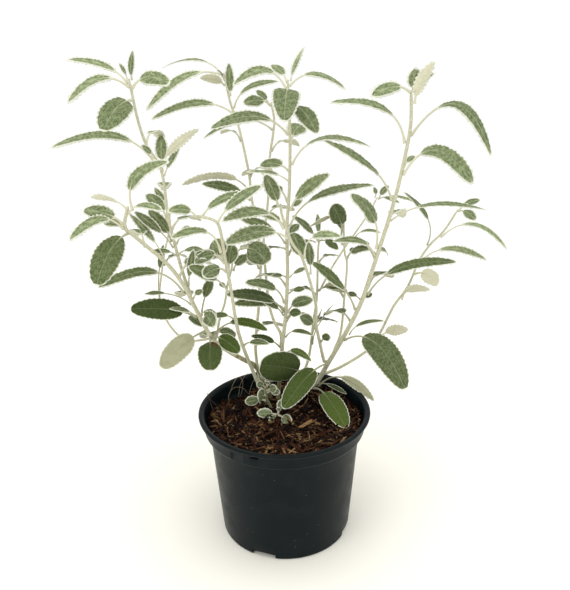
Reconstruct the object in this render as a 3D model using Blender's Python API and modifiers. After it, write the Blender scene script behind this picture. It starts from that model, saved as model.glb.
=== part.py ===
"""A silver-leaved shrub growing in a round nursery pot.

Everything is in metres, +Z up. The origin is on the table, under the middle of the pot. Seen from
the front (from -Y), +X is to the right. Tables and sizes are written in millimetres.
"""

import math
from collections import namedtuple

import bpy
import bmesh
from mathutils import Vector

MM = 0.001
GAP = 0.3                      # clear space kept between touching pieces

# Pot: a thin-walled moulded nursery pot
POT_HEIGHT = 100
RIM_RADIUS = 65                # outside of the bead round the top
RIM_THICKNESS = 2.2
COLLAR_RADIUS = 61
COLLAR_HEIGHT = 13             # from the top of the rim to the shoulder
SHOULDER_RADIUS = 57
FOOT_RADIUS = 50
WALL = 1.3
FLOOR = 1.8
FOOT_ROUND = 1.5
NOTCH_WIDTH = 18
NOTCH_HEIGHT = 4.6
NOTCH_ANGLES = (70, 160, 250, 340)
TURN_STEPS = 48

# Compost
COMPOST_TOP = 90
COMPOST_EDGE_DROP = 1.5

# Leaves
PETIOLE_RADIUS = 0.7
BLADE_THICKNESS = 0.8
TIP_WIDTH = 1.6
PETIOLE_SHARE = 0.25           # how much of a leaf's length is its stalk, unless it says otherwise
BLADE_STATIONS = (0.07, 0.2, 0.36, 0.52, 0.68, 0.82, 0.93, 1.0)
BOW_PLACE = 0.35               # how far along a leaf its bend is centred
BLADE_SQUARENESS = 2.2         # 2 is an ellipse, and more is an oblong with rounder ends

Stem = namedtuple("Stem", "grows_from at_height base_radius tip_radius route")

# A stem with no parent starts on the compost, at the first point of its route. A branch starts at
# the side of its parent, at the height given, and then follows its own route.
STEMS = {
    "centre": Stem(None, 0, 2.1, 1.1, [
        (-5, 31, 90.6), (-1, 28, 137), (2, 26, 164), (4, 24, 198),
        (4, 22, 234), (6, 20, 262), (7, 16, 300), (6, 12, 338)]),
    "right_main": Stem(None, 0, 2.5, 1.2, [
        (21, 46, 92), (27, 43, 99), (36, 38, 119), (47, 30, 145), (58, 22, 174),
        (64, 16, 198), (70, 9, 225), (76, 3, 252), (80, -2, 275), (84, -8, 308), (83, -11, 332)]),
    "left_front": Stem(None, 0, 2.4, 1.4, [
        (-12, 35, 91.6), (-21, 24, 122), (-30, 18, 132), (-42, 12, 143), (-53, 6, 157),
        (-63, 0, 184), (-69, -3, 201), (-79, -9, 220), (-96, -18, 241), (-102, -22, 250), (-98, -25, 264)]),
    "front_left": Stem(None, 0, 1.8, 1.2, [
        (-14, 24, 91.2), (-26, 16, 130), (-32, 6, 157), (-34, 0, 174), (-36, -10, 204),
        (-38, -16, 224), (-40, -22, 247), (-44, -24, 254), (-55, -24, 257)]),
    "back_left": Stem(None, 0, 1.6, 1.0, [
        (-19, 47, 90.8), (-23, 54, 124), (-20, 60, 155), (-18, 66, 181), (-17, 70, 203),
        (-23, 76, 244), (-25, 78, 266), (-32, 80, 302), (-37, 80, 317), (-41, 80, 339)]),
    "back_upright": Stem(None, 0, 1.4, 1.0, [
        (12, 52, 91.2), (21, 62, 112), (25, 66, 143), (28, 70, 163), (29, 74, 198), (30, 75, 210)]),
    "left_tall": Stem("left_front", 192, 1.5, 1.0, [
        (-69, 4, 203), (-72, 6, 214), (-75, 7, 229), (-78, 6, 248), (-80, 5, 281),
        (-88, 3, 298), (-92, 1, 315), (-95, -1, 341)]),
    "far_left": Stem("left_front", 156, 1.1, 0.8, [
        (-63, 14, 151), (-72, 22, 147), (-81, 30, 148), (-91, 38, 158), (-96, 44, 175),
        (-91, 52, 207), (-87, 55, 223), (-85, 58, 241)]),
    "inner_left": Stem("left_front", 154, 1.1, 0.8, [
        (-47, 15, 168), (-43, 20, 179), (-41, 24, 191), (-38, 26, 201), (-35, 26, 213), (-28, 25, 221)]),
    "back_centre": Stem("centre", 136, 1.4, 1.0, [
        (-2, 35, 146), (-7, 41, 154), (-11, 48, 167), (-13, 54, 190), (-14, 57, 215),
        (-10, 60, 246), (-8, 60, 278), (-4, 60, 304), (-6, 60, 319)]),
    "front_centre": Stem("right_main", 119, 1.5, 1.1, [
        (29, 31, 137), (25, 23, 160), (25, 18, 175), (21, 10, 195), (14, 0, 220),
        (7, -4, 232), (1, -10, 252), (0, -12, 261)]),
    "right_side": Stem("right_main", 108, 1.5, 1.0, [
        (49, 46, 112), (68, 50, 123), (78, 53, 136), (89, 56, 159), (100, 58, 175),
        (108, 58, 197), (116, 56, 211), (125, 54, 222), (134, 52, 239)]),
    "inner_right": Stem("right_main", 129, 1.2, 0.9, [
        (46, 44, 143), (49, 52, 169), (51, 56, 195), (49, 58, 206), (48, 60, 234)]),
    "back_right": Stem("back_upright", 168, 1.1, 0.8, [
        (40, 78, 184), (52, 84, 201), (69, 90, 224), (78, 92, 240)]),
}

Leaf = namedtuple("Leaf", "height reach width arch tilt petiole", defaults=(PETIOLE_SHARE,))

# For each stem, from its top downwards: the height at which the leaf leaves it, how far its tip
# reaches from there (x, y, z), its width, how far it arches above a straight line, how many
# degrees its upper face is turned from the sky towards the front, and its stalk's share.
LEAVES = {
    "left_tall": [
        Leaf(339, (-38, 6, 14), 7, 5, 30),
        Leaf(337, (-35, -14, -9), 8, 9, 20),
        Leaf(336, (25, -11, 2), 12, 5, 55),
        Leaf(328, (-14, -24, -16), 20, 4, 45, 0.12),
        Leaf(290, (-67, 1, 8), 7, 13, 20),
    ],
    "left_front": [
        Leaf(266, (27, -5, 30), 10, 10, 50),
        Leaf(252, (-25, 2, 8), 11, 3, 55),
        Leaf(250, (-28, -23, -2), 9, 9, 35),
        Leaf(246, (-16, -26, -26), 19, 5, 60, 0.12),
        Leaf(199, (-54, -17, 9), 10, 13, 30, 0.38),
        Leaf(177, (-44, -9, 10), 16, 3, 50),
        Leaf(164, (-30, -14, -22), 17, 3, -125),
        Leaf(158, (2, -30, -11), 18, 4, 50),
        Leaf(158, (20, -15, -6), 12, 3, 50),
    ],
    "front_left": [
        Leaf(256, (27, 9, 12), 8, 3, 40, 0.15),
        Leaf(252, (29, -8, 24), 9, 3, 50),
        Leaf(232, (-31, -8, 11), 9, 10, 20, 0.4),
        Leaf(199, (-25, -11, 22), 10, 3, 50, 0.4),
    ],
    "centre": [
        Leaf(334, (-34, -2, 1), 9, 10, 20),
        Leaf(332, (-3, -36, -16), 18, 5, 50, 0.15),
        Leaf(321, (16, -29, -14), 13, 5, 40),
        Leaf(303, (-52, 5, 3), 11, 10, 45),
        Leaf(283, (52, -7, 11), 9, 12, 10),
        Leaf(250, (26, -21, 28), 12, 4, 45),
        Leaf(238, (58, -7, 29), 10, 10, 25, 0.33),
        Leaf(178, (-27, -20, 22), 10, 6, 40, 0.35),
        Leaf(170, (-40, -25, 23), 10, 6, 45),
    ],
    "front_centre": [
        Leaf(261, (-8, -8, 22), 10, 1, 80, 0.15),
        Leaf(245, (-39, -17, 9), 10, 9, 35, 0.3),
        Leaf(237, (-41, -10, -1), 12, 6, 45, 0.22),
    ],
    "right_main": [
        Leaf(306, (45, -22, -12), 10, 24, 0),
        Leaf(300, (-48, 6, 24), 10, 12, 15, 0.3),
        Leaf(280, (38, -27, -3), 15, 17, 35),
        Leaf(260, (-47, -9, 41), 10, 7, 20, 0.33),
        Leaf(224, (-21, -19, 41), 14, 9, 40, 0.38),
        Leaf(186, (61, -9, 26), 10, 10, 30, 0.32),
        Leaf(171, (-33, -10, 40), 10, 4, 30, 0.38),
        Leaf(145, (39, -45, -20), 21, 16, 40, 0.28),
        Leaf(119, (-35, -43, -15), 19, 6, 55, 0.33),
        Leaf(101, (-46, -40, 33), 23, 4, 75, 0.45),
        Leaf(95, (21, -61, 0), 17, 7, 40, 0.38),
    ],
    "back_left": [
        Leaf(338, (-56, -10, -24), 9, 10, 25),
    ],
    "right_side": [
        Leaf(219, (48, -10, -9), 7, 14, 0, 0.3),
    ],
}

Finish = namedtuple("Finish", "colour roughness")
POT_PLASTIC = Finish((0.012, 0.016, 0.020), 0.38)
BARK_COMPOST = Finish((0.050, 0.024, 0.015), 0.95)
STEM_FELT = Finish((0.66, 0.64, 0.50), 0.85)
LEAF_GREEN = Finish((0.13, 0.20, 0.09), 0.75)


def clear_scene():
    for old in list(bpy.data.objects):
        bpy.data.objects.remove(old, do_unlink=True)


def make_collection(name):
    collection = bpy.data.collections.new(name)
    bpy.context.scene.collection.children.link(collection)
    return collection


def make_material(name, finish):
    material = bpy.data.materials.new(name)
    material.use_nodes = True
    shader = material.node_tree.nodes["Principled BSDF"]
    shader.inputs["Base Color"].default_value = (*finish.colour, 1.0)
    shader.inputs["Roughness"].default_value = finish.roughness
    shader.inputs["Metallic"].default_value = 0.0
    return material


def add_object(name, data, collection, finish):
    made = bpy.data.objects.new(name, data)
    made.data.materials.append(make_material(name + "_finish", finish))
    collection.objects.link(made)
    return made


# ---------------------------------------------------------------- turned pieces

def turned(name, profile, collection, finish):
    """A solid turned round Z from an open profile of (radius, height) that ends on the axis."""
    mesh = bpy.data.meshes.new(name)
    points = [Vector((radius, 0, height)) * MM for radius, height in profile]
    mesh.from_pydata(points, [(i, i + 1) for i in range(len(points) - 1)], [])
    made = add_object(name, mesh, collection, finish)
    screw = made.modifiers.new("Turn", "SCREW")
    screw.steps = screw.render_steps = TURN_STEPS
    screw.use_merge_vertices = True
    screw.merge_threshold = 0.00001
    screw.use_smooth_shade = True
    return made


def pot_profile():
    """From the middle of the floor up the inside, over the rim and down the outside."""
    shoulder = POT_HEIGHT - COLLAR_HEIGHT
    inner_foot = FOOT_RADIUS - WALL
    return [
        (0, FLOOR), (inner_foot - FOOT_ROUND, FLOOR), (inner_foot, FLOOR + FOOT_ROUND),
        (SHOULDER_RADIUS - WALL, shoulder - 2), (COLLAR_RADIUS - WALL, shoulder + 1),
        (COLLAR_RADIUS + 0.6 - WALL, POT_HEIGHT - 1), (COLLAR_RADIUS + 1, POT_HEIGHT),
        (RIM_RADIUS - 0.8, POT_HEIGHT), (RIM_RADIUS, POT_HEIGHT - 0.8),
        (RIM_RADIUS - 0.2, POT_HEIGHT - RIM_THICKNESS), (COLLAR_RADIUS + 0.6, POT_HEIGHT - RIM_THICKNESS - 0.4),
        (COLLAR_RADIUS, shoulder + 0.5), (COLLAR_RADIUS - 0.8, shoulder - 0.5),
        (SHOULDER_RADIUS, shoulder - 2.5), (FOOT_RADIUS, FOOT_ROUND), (FOOT_RADIUS - FOOT_ROUND, 0), (0, 0),
    ]


def cut_notches(pot, cutters):
    """Four drain notches in the foot, each through the wall and the edge of the floor."""
    depth = 8
    for angle in NOTCH_ANGLES:
        turn = math.radians(angle)
        mesh = bpy.data.meshes.new("notch")
        shape = bmesh.new()
        bmesh.ops.create_cube(shape, size=1.0)
        size = Vector((depth, NOTCH_WIDTH, 2 * NOTCH_HEIGHT)) * MM
        bmesh.ops.scale(shape, vec=size, verts=shape.verts)
        shape.to_mesh(mesh)
        shape.free()
        cutter = bpy.data.objects.new(f"notch_cutter_{angle}", mesh)
        middle = FOOT_RADIUS - 0.5
        cutter.location = Vector((middle * math.cos(turn), middle * math.sin(turn), 0)) * MM
        cutter.rotation_euler = (0, 0, turn)
        cutter.hide_render = True
        cutter.display_type = "WIRE"
        cutters.objects.link(cutter)
        cut = pot.modifiers.new(f"Notch {angle}", "BOOLEAN")
        cut.operation = "DIFFERENCE"
        cut.object = cutter


def compost_profile():
    """The plug of compost, which follows the inside of the pot with a small gap."""
    shoulder = POT_HEIGHT - COLLAR_HEIGHT
    foot = FOOT_RADIUS - WALL - 2 * GAP
    waist = SHOULDER_RADIUS - WALL - 2 * GAP
    edge = COLLAR_RADIUS - WALL - 2 * GAP
    bottom = FLOOR + FOOT_ROUND + GAP
    return [
        (0, COMPOST_TOP), (edge - 6, COMPOST_TOP), (edge - 1, COMPOST_TOP - 0.5),
        (edge, COMPOST_TOP - COMPOST_EDGE_DROP), (edge - 0.5, shoulder + 1),
        (waist, shoulder - 2 + GAP), (foot, bottom), (0, bottom),
    ]


# ---------------------------------------------------------------- stems

def smooth_route(points, steps=2):
    """Points on a smooth curve (Catmull-Rom) through the route's own points."""
    ends = [points[0] * 2 - points[1]] + points + [points[-1] * 2 - points[-2]]
    smooth = []
    for i in range(1, len(ends) - 2):
        before, here, there, after = ends[i - 1:i + 3]
        for step in range(steps):
            t = step / steps
            smooth.append(0.5 * (
                2 * here + (there - before) * t
                + (2 * before - 5 * here + 4 * there - after) * t ** 2
                + (3 * here - before - 3 * there + after) * t ** 3))
    return smooth + [points[-1]]


class StemPath:
    """Where a stem runs and how thick it is, in millimetres."""

    def __init__(self, stem, points):
        self.points = smooth_route(points)
        lengths = [0.0]
        for a, b in zip(self.points, self.points[1:]):
            lengths.append(lengths[-1] + (b - a).length)
        self.radii = [
            stem.base_radius + (stem.tip_radius - stem.base_radius) * length / lengths[-1]
            for length in lengths]

    def at_height(self, height):
        """The place, direction and radius of the stem where it last passes this height."""
        spans = list(zip(self.points, self.points[1:], self.radii))
        for a, b, radius in reversed(spans):
            if a.z <= height <= b.z:
                share = (height - a.z) / (b.z - a.z)
                return a.lerp(b, share), (b - a).normalized(), radius
        a, b, radius = spans[-1]
        return b, (b - a).normalized(), radius

    def side_start(self, height, towards, own_radius):
        """Where something of this radius leaves the stem's side, heading the given way."""
        place, along, radius = self.at_height(height)
        out = towards - along * towards.dot(along)
        return place + out.normalized() * (radius + own_radius + GAP)


def stem_paths():
    paths = {}
    for name, stem in STEMS.items():
        route = [Vector(point) for point in stem.route]
        if stem.grows_from:
            parent = paths[stem.grows_from]
            place = parent.at_height(stem.at_height)[0]
            start = parent.side_start(stem.at_height, route[0] - place, stem.base_radius)
            route.insert(0, start)
        paths[name] = StemPath(stem, route)
    return paths


def build_stem(name, path, collection):
    """A tapering tube with closed ends."""
    curve = bpy.data.curves.new(name, "CURVE")
    curve.dimensions = "3D"
    curve.bevel_depth = MM
    curve.bevel_resolution = 2
    curve.use_fill_caps = True
    spline = curve.splines.new("POLY")
    spline.points.add(len(path.points) - 1)
    for point, place, radius in zip(spline.points, path.points, path.radii):
        point.co = (*(place * MM), 1)
        point.radius = radius
    return add_object(name, curve, collection, STEM_FELT)


# ---------------------------------------------------------------- leaves

def leaf_midrib(start, leaf):
    """A function that gives the place and direction along the leaf, from 0 at its base to 1."""
    reach = Vector(leaf.reach)
    along = reach.normalized()
    up = Vector((0, 0, 1))
    bow = (up - along * up.dot(along)).normalized()
    middle = start + reach * BOW_PLACE + bow * 2 * leaf.arch
    tip = start + reach

    def at(t):
        place = start * (1 - t) ** 2 + middle * 2 * t * (1 - t) + tip * t ** 2
        direction = (middle - start) * (1 - t) + (tip - middle) * t
        return place, direction.normalized()
    return at


def blade_share(s):
    """The blade's width at s, as a share of its greatest width: between an ellipse and an oblong."""
    return (1 - abs(2 * s - 1) ** BLADE_SQUARENESS) ** (1 / BLADE_SQUARENESS)


def leaf_sections(leaf):
    """(place along the leaf, half width, half thickness) of each section from base to tip."""
    for t in (0, leaf.petiole / 2, leaf.petiole):
        yield t, PETIOLE_RADIUS, PETIOLE_RADIUS
    for s in BLADE_STATIONS:
        half = max(blade_share(s) * leaf.width, TIP_WIDTH) / 2
        thick = PETIOLE_RADIUS + (BLADE_THICKNESS / 2 - PETIOLE_RADIUS) * min(1, 3 * s)
        yield leaf.petiole + (1 - leaf.petiole) * s, half, thick


def build_leaf(name, start, leaf, collection):
    """A stalk that spreads into a flat blade, lofted through six-sided sections."""
    midrib = leaf_midrib(start, leaf)
    tilt = math.radians(leaf.tilt)
    face = Vector((0, -math.sin(tilt), math.cos(tilt)))
    mesh = bpy.data.meshes.new(name)
    shape = bmesh.new()
    rings = []
    for t, half, thick in leaf_sections(leaf):
        place, along = midrib(t)
        normal = (face - along * face.dot(along)).normalized()
        across = along.cross(normal)
        ring = []
        for corner in range(6):
            angle = math.radians(60 * corner)
            offset = across * half * math.cos(angle) + normal * thick * math.sin(angle)
            ring.append(shape.verts.new((place + offset) * MM))
        rings.append(ring)
    for near, far in zip(rings, rings[1:]):
        for i in range(6):
            j = (i + 1) % 6
            shape.faces.new((near[i], near[j], far[j], far[i]))
    shape.faces.new(reversed(rings[0]))
    shape.faces.new(rings[-1])
    bmesh.ops.recalc_face_normals(shape, faces=shape.faces)
    shape.to_mesh(mesh)
    shape.free()
    mesh.shade_smooth()
    return add_object(name, mesh, collection, LEAF_GREEN)


# ---------------------------------------------------------------- the whole plant

def build():
    clear_scene()
    parts = make_collection("potted_silver_shrub")
    cutters = make_collection("cutters")

    pot = turned("pot", pot_profile(), parts, POT_PLASTIC)
    cut_notches(pot, cutters)
    turned("compost", compost_profile(), parts, BARK_COMPOST)

    paths = stem_paths()
    for name, path in paths.items():
        build_stem(f"stem_{name}", path, parts)
    for stem_name, leaves in LEAVES.items():
        for number, leaf in enumerate(leaves, start=1):
            start = paths[stem_name].side_start(leaf.height, Vector(leaf.reach), PETIOLE_RADIUS)
            build_leaf(f"leaf_{stem_name}_{number}", start, leaf, parts)


build()
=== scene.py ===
"""The looks of a silver-leaved shrub in a nursery pot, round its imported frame.

It is laid out as an add-on and run as a script. Sizes are in millimetres unless a name says
otherwise, and MM turns them into metres. Seen from the front (from -Y), +X is to the right.
"""

import math
import random
from collections import namedtuple

import bpy
import numpy as np
from bpy.props import FloatProperty, FloatVectorProperty, IntProperty, PointerProperty
from mathutils import Matrix, Vector, noise


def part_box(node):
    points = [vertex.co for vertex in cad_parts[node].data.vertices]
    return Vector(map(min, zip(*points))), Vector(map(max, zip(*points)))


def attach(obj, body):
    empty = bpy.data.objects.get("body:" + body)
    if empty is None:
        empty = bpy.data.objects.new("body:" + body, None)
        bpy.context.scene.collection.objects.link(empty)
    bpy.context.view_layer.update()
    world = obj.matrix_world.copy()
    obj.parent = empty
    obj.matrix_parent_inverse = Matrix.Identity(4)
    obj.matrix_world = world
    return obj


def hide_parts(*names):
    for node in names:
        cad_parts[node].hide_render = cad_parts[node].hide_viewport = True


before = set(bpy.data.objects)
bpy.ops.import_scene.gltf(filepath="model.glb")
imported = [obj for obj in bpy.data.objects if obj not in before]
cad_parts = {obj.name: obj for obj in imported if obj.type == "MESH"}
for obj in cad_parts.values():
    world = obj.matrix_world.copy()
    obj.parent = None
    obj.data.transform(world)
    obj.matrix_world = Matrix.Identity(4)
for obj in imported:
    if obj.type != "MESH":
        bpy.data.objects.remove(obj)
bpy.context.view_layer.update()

bl_info = {
    "name": "Potted silver-leaved shrub",
    "version": (1, 0, 0),
    "blender": (4, 5, 0),
    "location": "View3D > Sidebar > Shrub",
    "description": "Builds the pot, the bark compost, the felted stems and every leaf of the shrub",
    "category": "Object",
}

MM = 0.001
BODY = "root"
POT_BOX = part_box("pot")
COMPOST_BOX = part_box("compost")


# ================================================================ the plant's own tables

Stem = namedtuple("Stem", "grows_from at_height base_radius tip_radius route")

# A stem with no parent starts on the compost. A branch starts at the side of its parent, at the
# height given, and then follows its own route. These fourteen are the frame's stems.
STEMS = {
    "centre": Stem(None, 0, 2.1, 1.1, [
        (-5, 31, 90.6), (-1, 28, 137), (2, 26, 164), (4, 24, 198),
        (4, 22, 234), (6, 20, 262), (7, 16, 300), (6, 12, 338)]),
    "right_main": Stem(None, 0, 2.5, 1.2, [
        (21, 46, 92), (27, 43, 99), (36, 38, 119), (47, 30, 145), (58, 22, 174),
        (64, 16, 198), (70, 9, 225), (76, 3, 252), (80, -2, 275), (84, -8, 308), (83, -11, 332)]),
    "left_front": Stem(None, 0, 2.4, 1.4, [
        (-12, 35, 91.6), (-21, 24, 122), (-30, 18, 132), (-42, 12, 143), (-53, 6, 157),
        (-63, 0, 184), (-69, -3, 201), (-79, -9, 220), (-96, -18, 241), (-102, -22, 250),
        (-98, -25, 264)]),
    "front_left": Stem(None, 0, 1.8, 1.2, [
        (-14, 24, 91.2), (-26, 16, 130), (-32, 6, 157), (-34, 0, 174), (-36, -10, 204),
        (-38, -16, 224), (-40, -22, 247), (-44, -24, 254), (-55, -24, 257)]),
    "back_left": Stem(None, 0, 1.6, 1.0, [
        (-19, 47, 90.8), (-23, 54, 124), (-20, 60, 155), (-18, 66, 181), (-17, 70, 203),
        (-23, 76, 244), (-25, 78, 266), (-32, 80, 302), (-37, 80, 317), (-41, 80, 339)]),
    "back_upright": Stem(None, 0, 1.4, 1.0, [
        (12, 52, 91.2), (21, 62, 112), (25, 66, 143), (28, 70, 163), (29, 74, 198), (30, 75, 210)]),
    "left_tall": Stem("left_front", 192, 1.5, 1.0, [
        (-69, 4, 203), (-72, 6, 214), (-75, 7, 229), (-78, 6, 248), (-80, 5, 281),
        (-88, 3, 298), (-92, 1, 315), (-95, -1, 341)]),
    "far_left": Stem("left_front", 156, 1.1, 0.8, [
        (-63, 14, 151), (-72, 22, 147), (-81, 30, 148), (-91, 38, 158), (-96, 44, 175),
        (-91, 52, 207), (-87, 55, 223), (-85, 58, 241)]),
    "inner_left": Stem("left_front", 154, 1.1, 0.8, [
        (-47, 15, 168), (-43, 20, 179), (-41, 24, 191), (-38, 26, 201), (-35, 26, 213),
        (-28, 25, 221)]),
    "back_centre": Stem("centre", 136, 1.4, 1.0, [
        (-2, 35, 146), (-7, 41, 154), (-11, 48, 167), (-13, 54, 190), (-14, 57, 215),
        (-10, 60, 246), (-8, 60, 278), (-4, 60, 304), (-6, 60, 319)]),
    "front_centre": Stem("right_main", 119, 1.5, 1.1, [
        (29, 31, 137), (25, 23, 160), (25, 18, 175), (21, 10, 195), (14, 0, 220),
        (7, -4, 232), (1, -10, 252), (0, -12, 261)]),
    "right_side": Stem("right_main", 108, 1.5, 1.0, [
        (49, 46, 112), (68, 50, 123), (78, 53, 136), (89, 56, 159), (100, 58, 175),
        (108, 58, 197), (116, 56, 211), (125, 54, 222), (134, 52, 239)]),
    "inner_right": Stem("right_main", 129, 1.2, 0.9, [
        (46, 44, 143), (49, 52, 169), (51, 56, 195), (49, 58, 206), (48, 60, 234)]),
    "back_right": Stem("back_upright", 168, 1.1, 0.8, [
        (40, 78, 184), (52, 84, 201), (69, 90, 224), (78, 92, 240)]),
}

# Two short shoots that spring from the compost in front of the stems.
SPROUTS = {
    "front_sprout": Stem(None, 0, 0.9, 0.6, [(-3, 5, 89), (-4, 3, 91.5), (-6, 1, 94.5)]),
    "low_sprout": Stem(None, 0, 1.4, 0.9, [
        (-10, 18, 89), (-12, 16.5, 95), (-14, 15, 101), (-14, 15, 108), (-12, 16, 114)]),
}

Leaf = namedtuple("Leaf", "height reach width arch tilt petiole", defaults=(0.25,))


def leaves(*rows):
    """The leaves of one stem, from its top downwards.

    A row holds the height at which the leaf leaves the stem, how far its tip reaches from there
    in x, y and z, its width, how far it arches above a straight line, how many degrees its upper
    face is turned from the sky towards the front and, if it isn't a quarter, its stalk's share of
    its length.
    """
    return [Leaf(row[0], row[1:4], *row[4:]) for row in rows]


# These forty-three are the frame's leaves.
LEAVES = {
    "left_tall": leaves(
        (339, -38, 6, 14, 7, 5, 30), (337, -35, -14, -9, 9.5, 9, 40), (336, 25, -11, 2, 12, 5, 55),
        (328, -14, -24, -16, 20, 4, 45, 0.12), (290, -67, 1, 8, 8.5, 13, 42)),
    "left_front": leaves(
        (266, 27, -5, 30, 10, 10, 50), (252, -25, 2, 8, 11, 3, 55), (250, -28, -23, -2, 9, 9, 35),
        (246, -16, -26, -26, 19, 5, 60, 0.12), (199, -54, -17, 9, 10, 13, 30, 0.38),
        (177, -44, -9, 10, 16, 3, 50), (164, -30, -14, -22, 17, 3, -125),
        (158, 2, -30, -11, 18, 4, 50), (158, 20, -15, -6, 12, 3, 50)),
    "front_left": leaves(
        (256, 27, 9, 12, 8, 3, 40, 0.15), (252, 29, -8, 24, 9, 3, 50),
        (232, -31, -8, 11, 9, 10, 20, 0.4), (199, -25, -11, 22, 10, 3, 50, 0.4)),
    "centre": leaves(
        (334, -34, -2, 1, 9, 10, 40), (332, -3, -36, -16, 18, 5, 50, 0.15),
        (321, 16, -29, -14, 13, 5, 40), (303, -52, 5, 3, 11, 10, 45), (283, 52, -7, 11, 9, 12, 10),
        (250, 26, -21, 28, 12, 4, 45), (238, 58, -7, 29, 10, 10, 25, 0.33),
        (178, -27, -20, 22, 10, 6, 40, 0.35), (170, -40, -25, 23, 10, 6, 45)),
    "front_centre": leaves(
        (261, -8, -8, 22, 10, 1, 80, 0.15), (245, -39, -17, 9, 10, 9, 35, 0.3),
        (237, -41, -10, -1, 12, 6, 45, 0.22)),
    "right_main": leaves(
        (306, 45, -22, -12, 10, 24, 30), (300, -48, 6, 24, 10, 12, 15, 0.3),
        (280, 38, -27, -3, 15, 17, 35), (260, -47, -9, 41, 10, 7, 20, 0.33),
        (224, -21, -19, 41, 14, 9, 40, 0.38), (186, 61, -9, 26, 10, 10, 30, 0.32),
        (171, -33, -10, 40, 10, 4, 30, 0.38), (145, 39, -45, -20, 21, 16, 40, 0.28),
        (119, -35, -43, -15, 17, 6, 55, 0.33), (101, -43, -40, 34, 26, 4, 75, 0.43),
        (95, 21, -61, 0, 17, 7, 40, 0.38)),
    "back_left": leaves((338, -56, -10, -24, 9, 10, 38)),
    "right_side": leaves((219, 48, -10, -9, 7, 14, 25, 0.3)),
}

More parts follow.
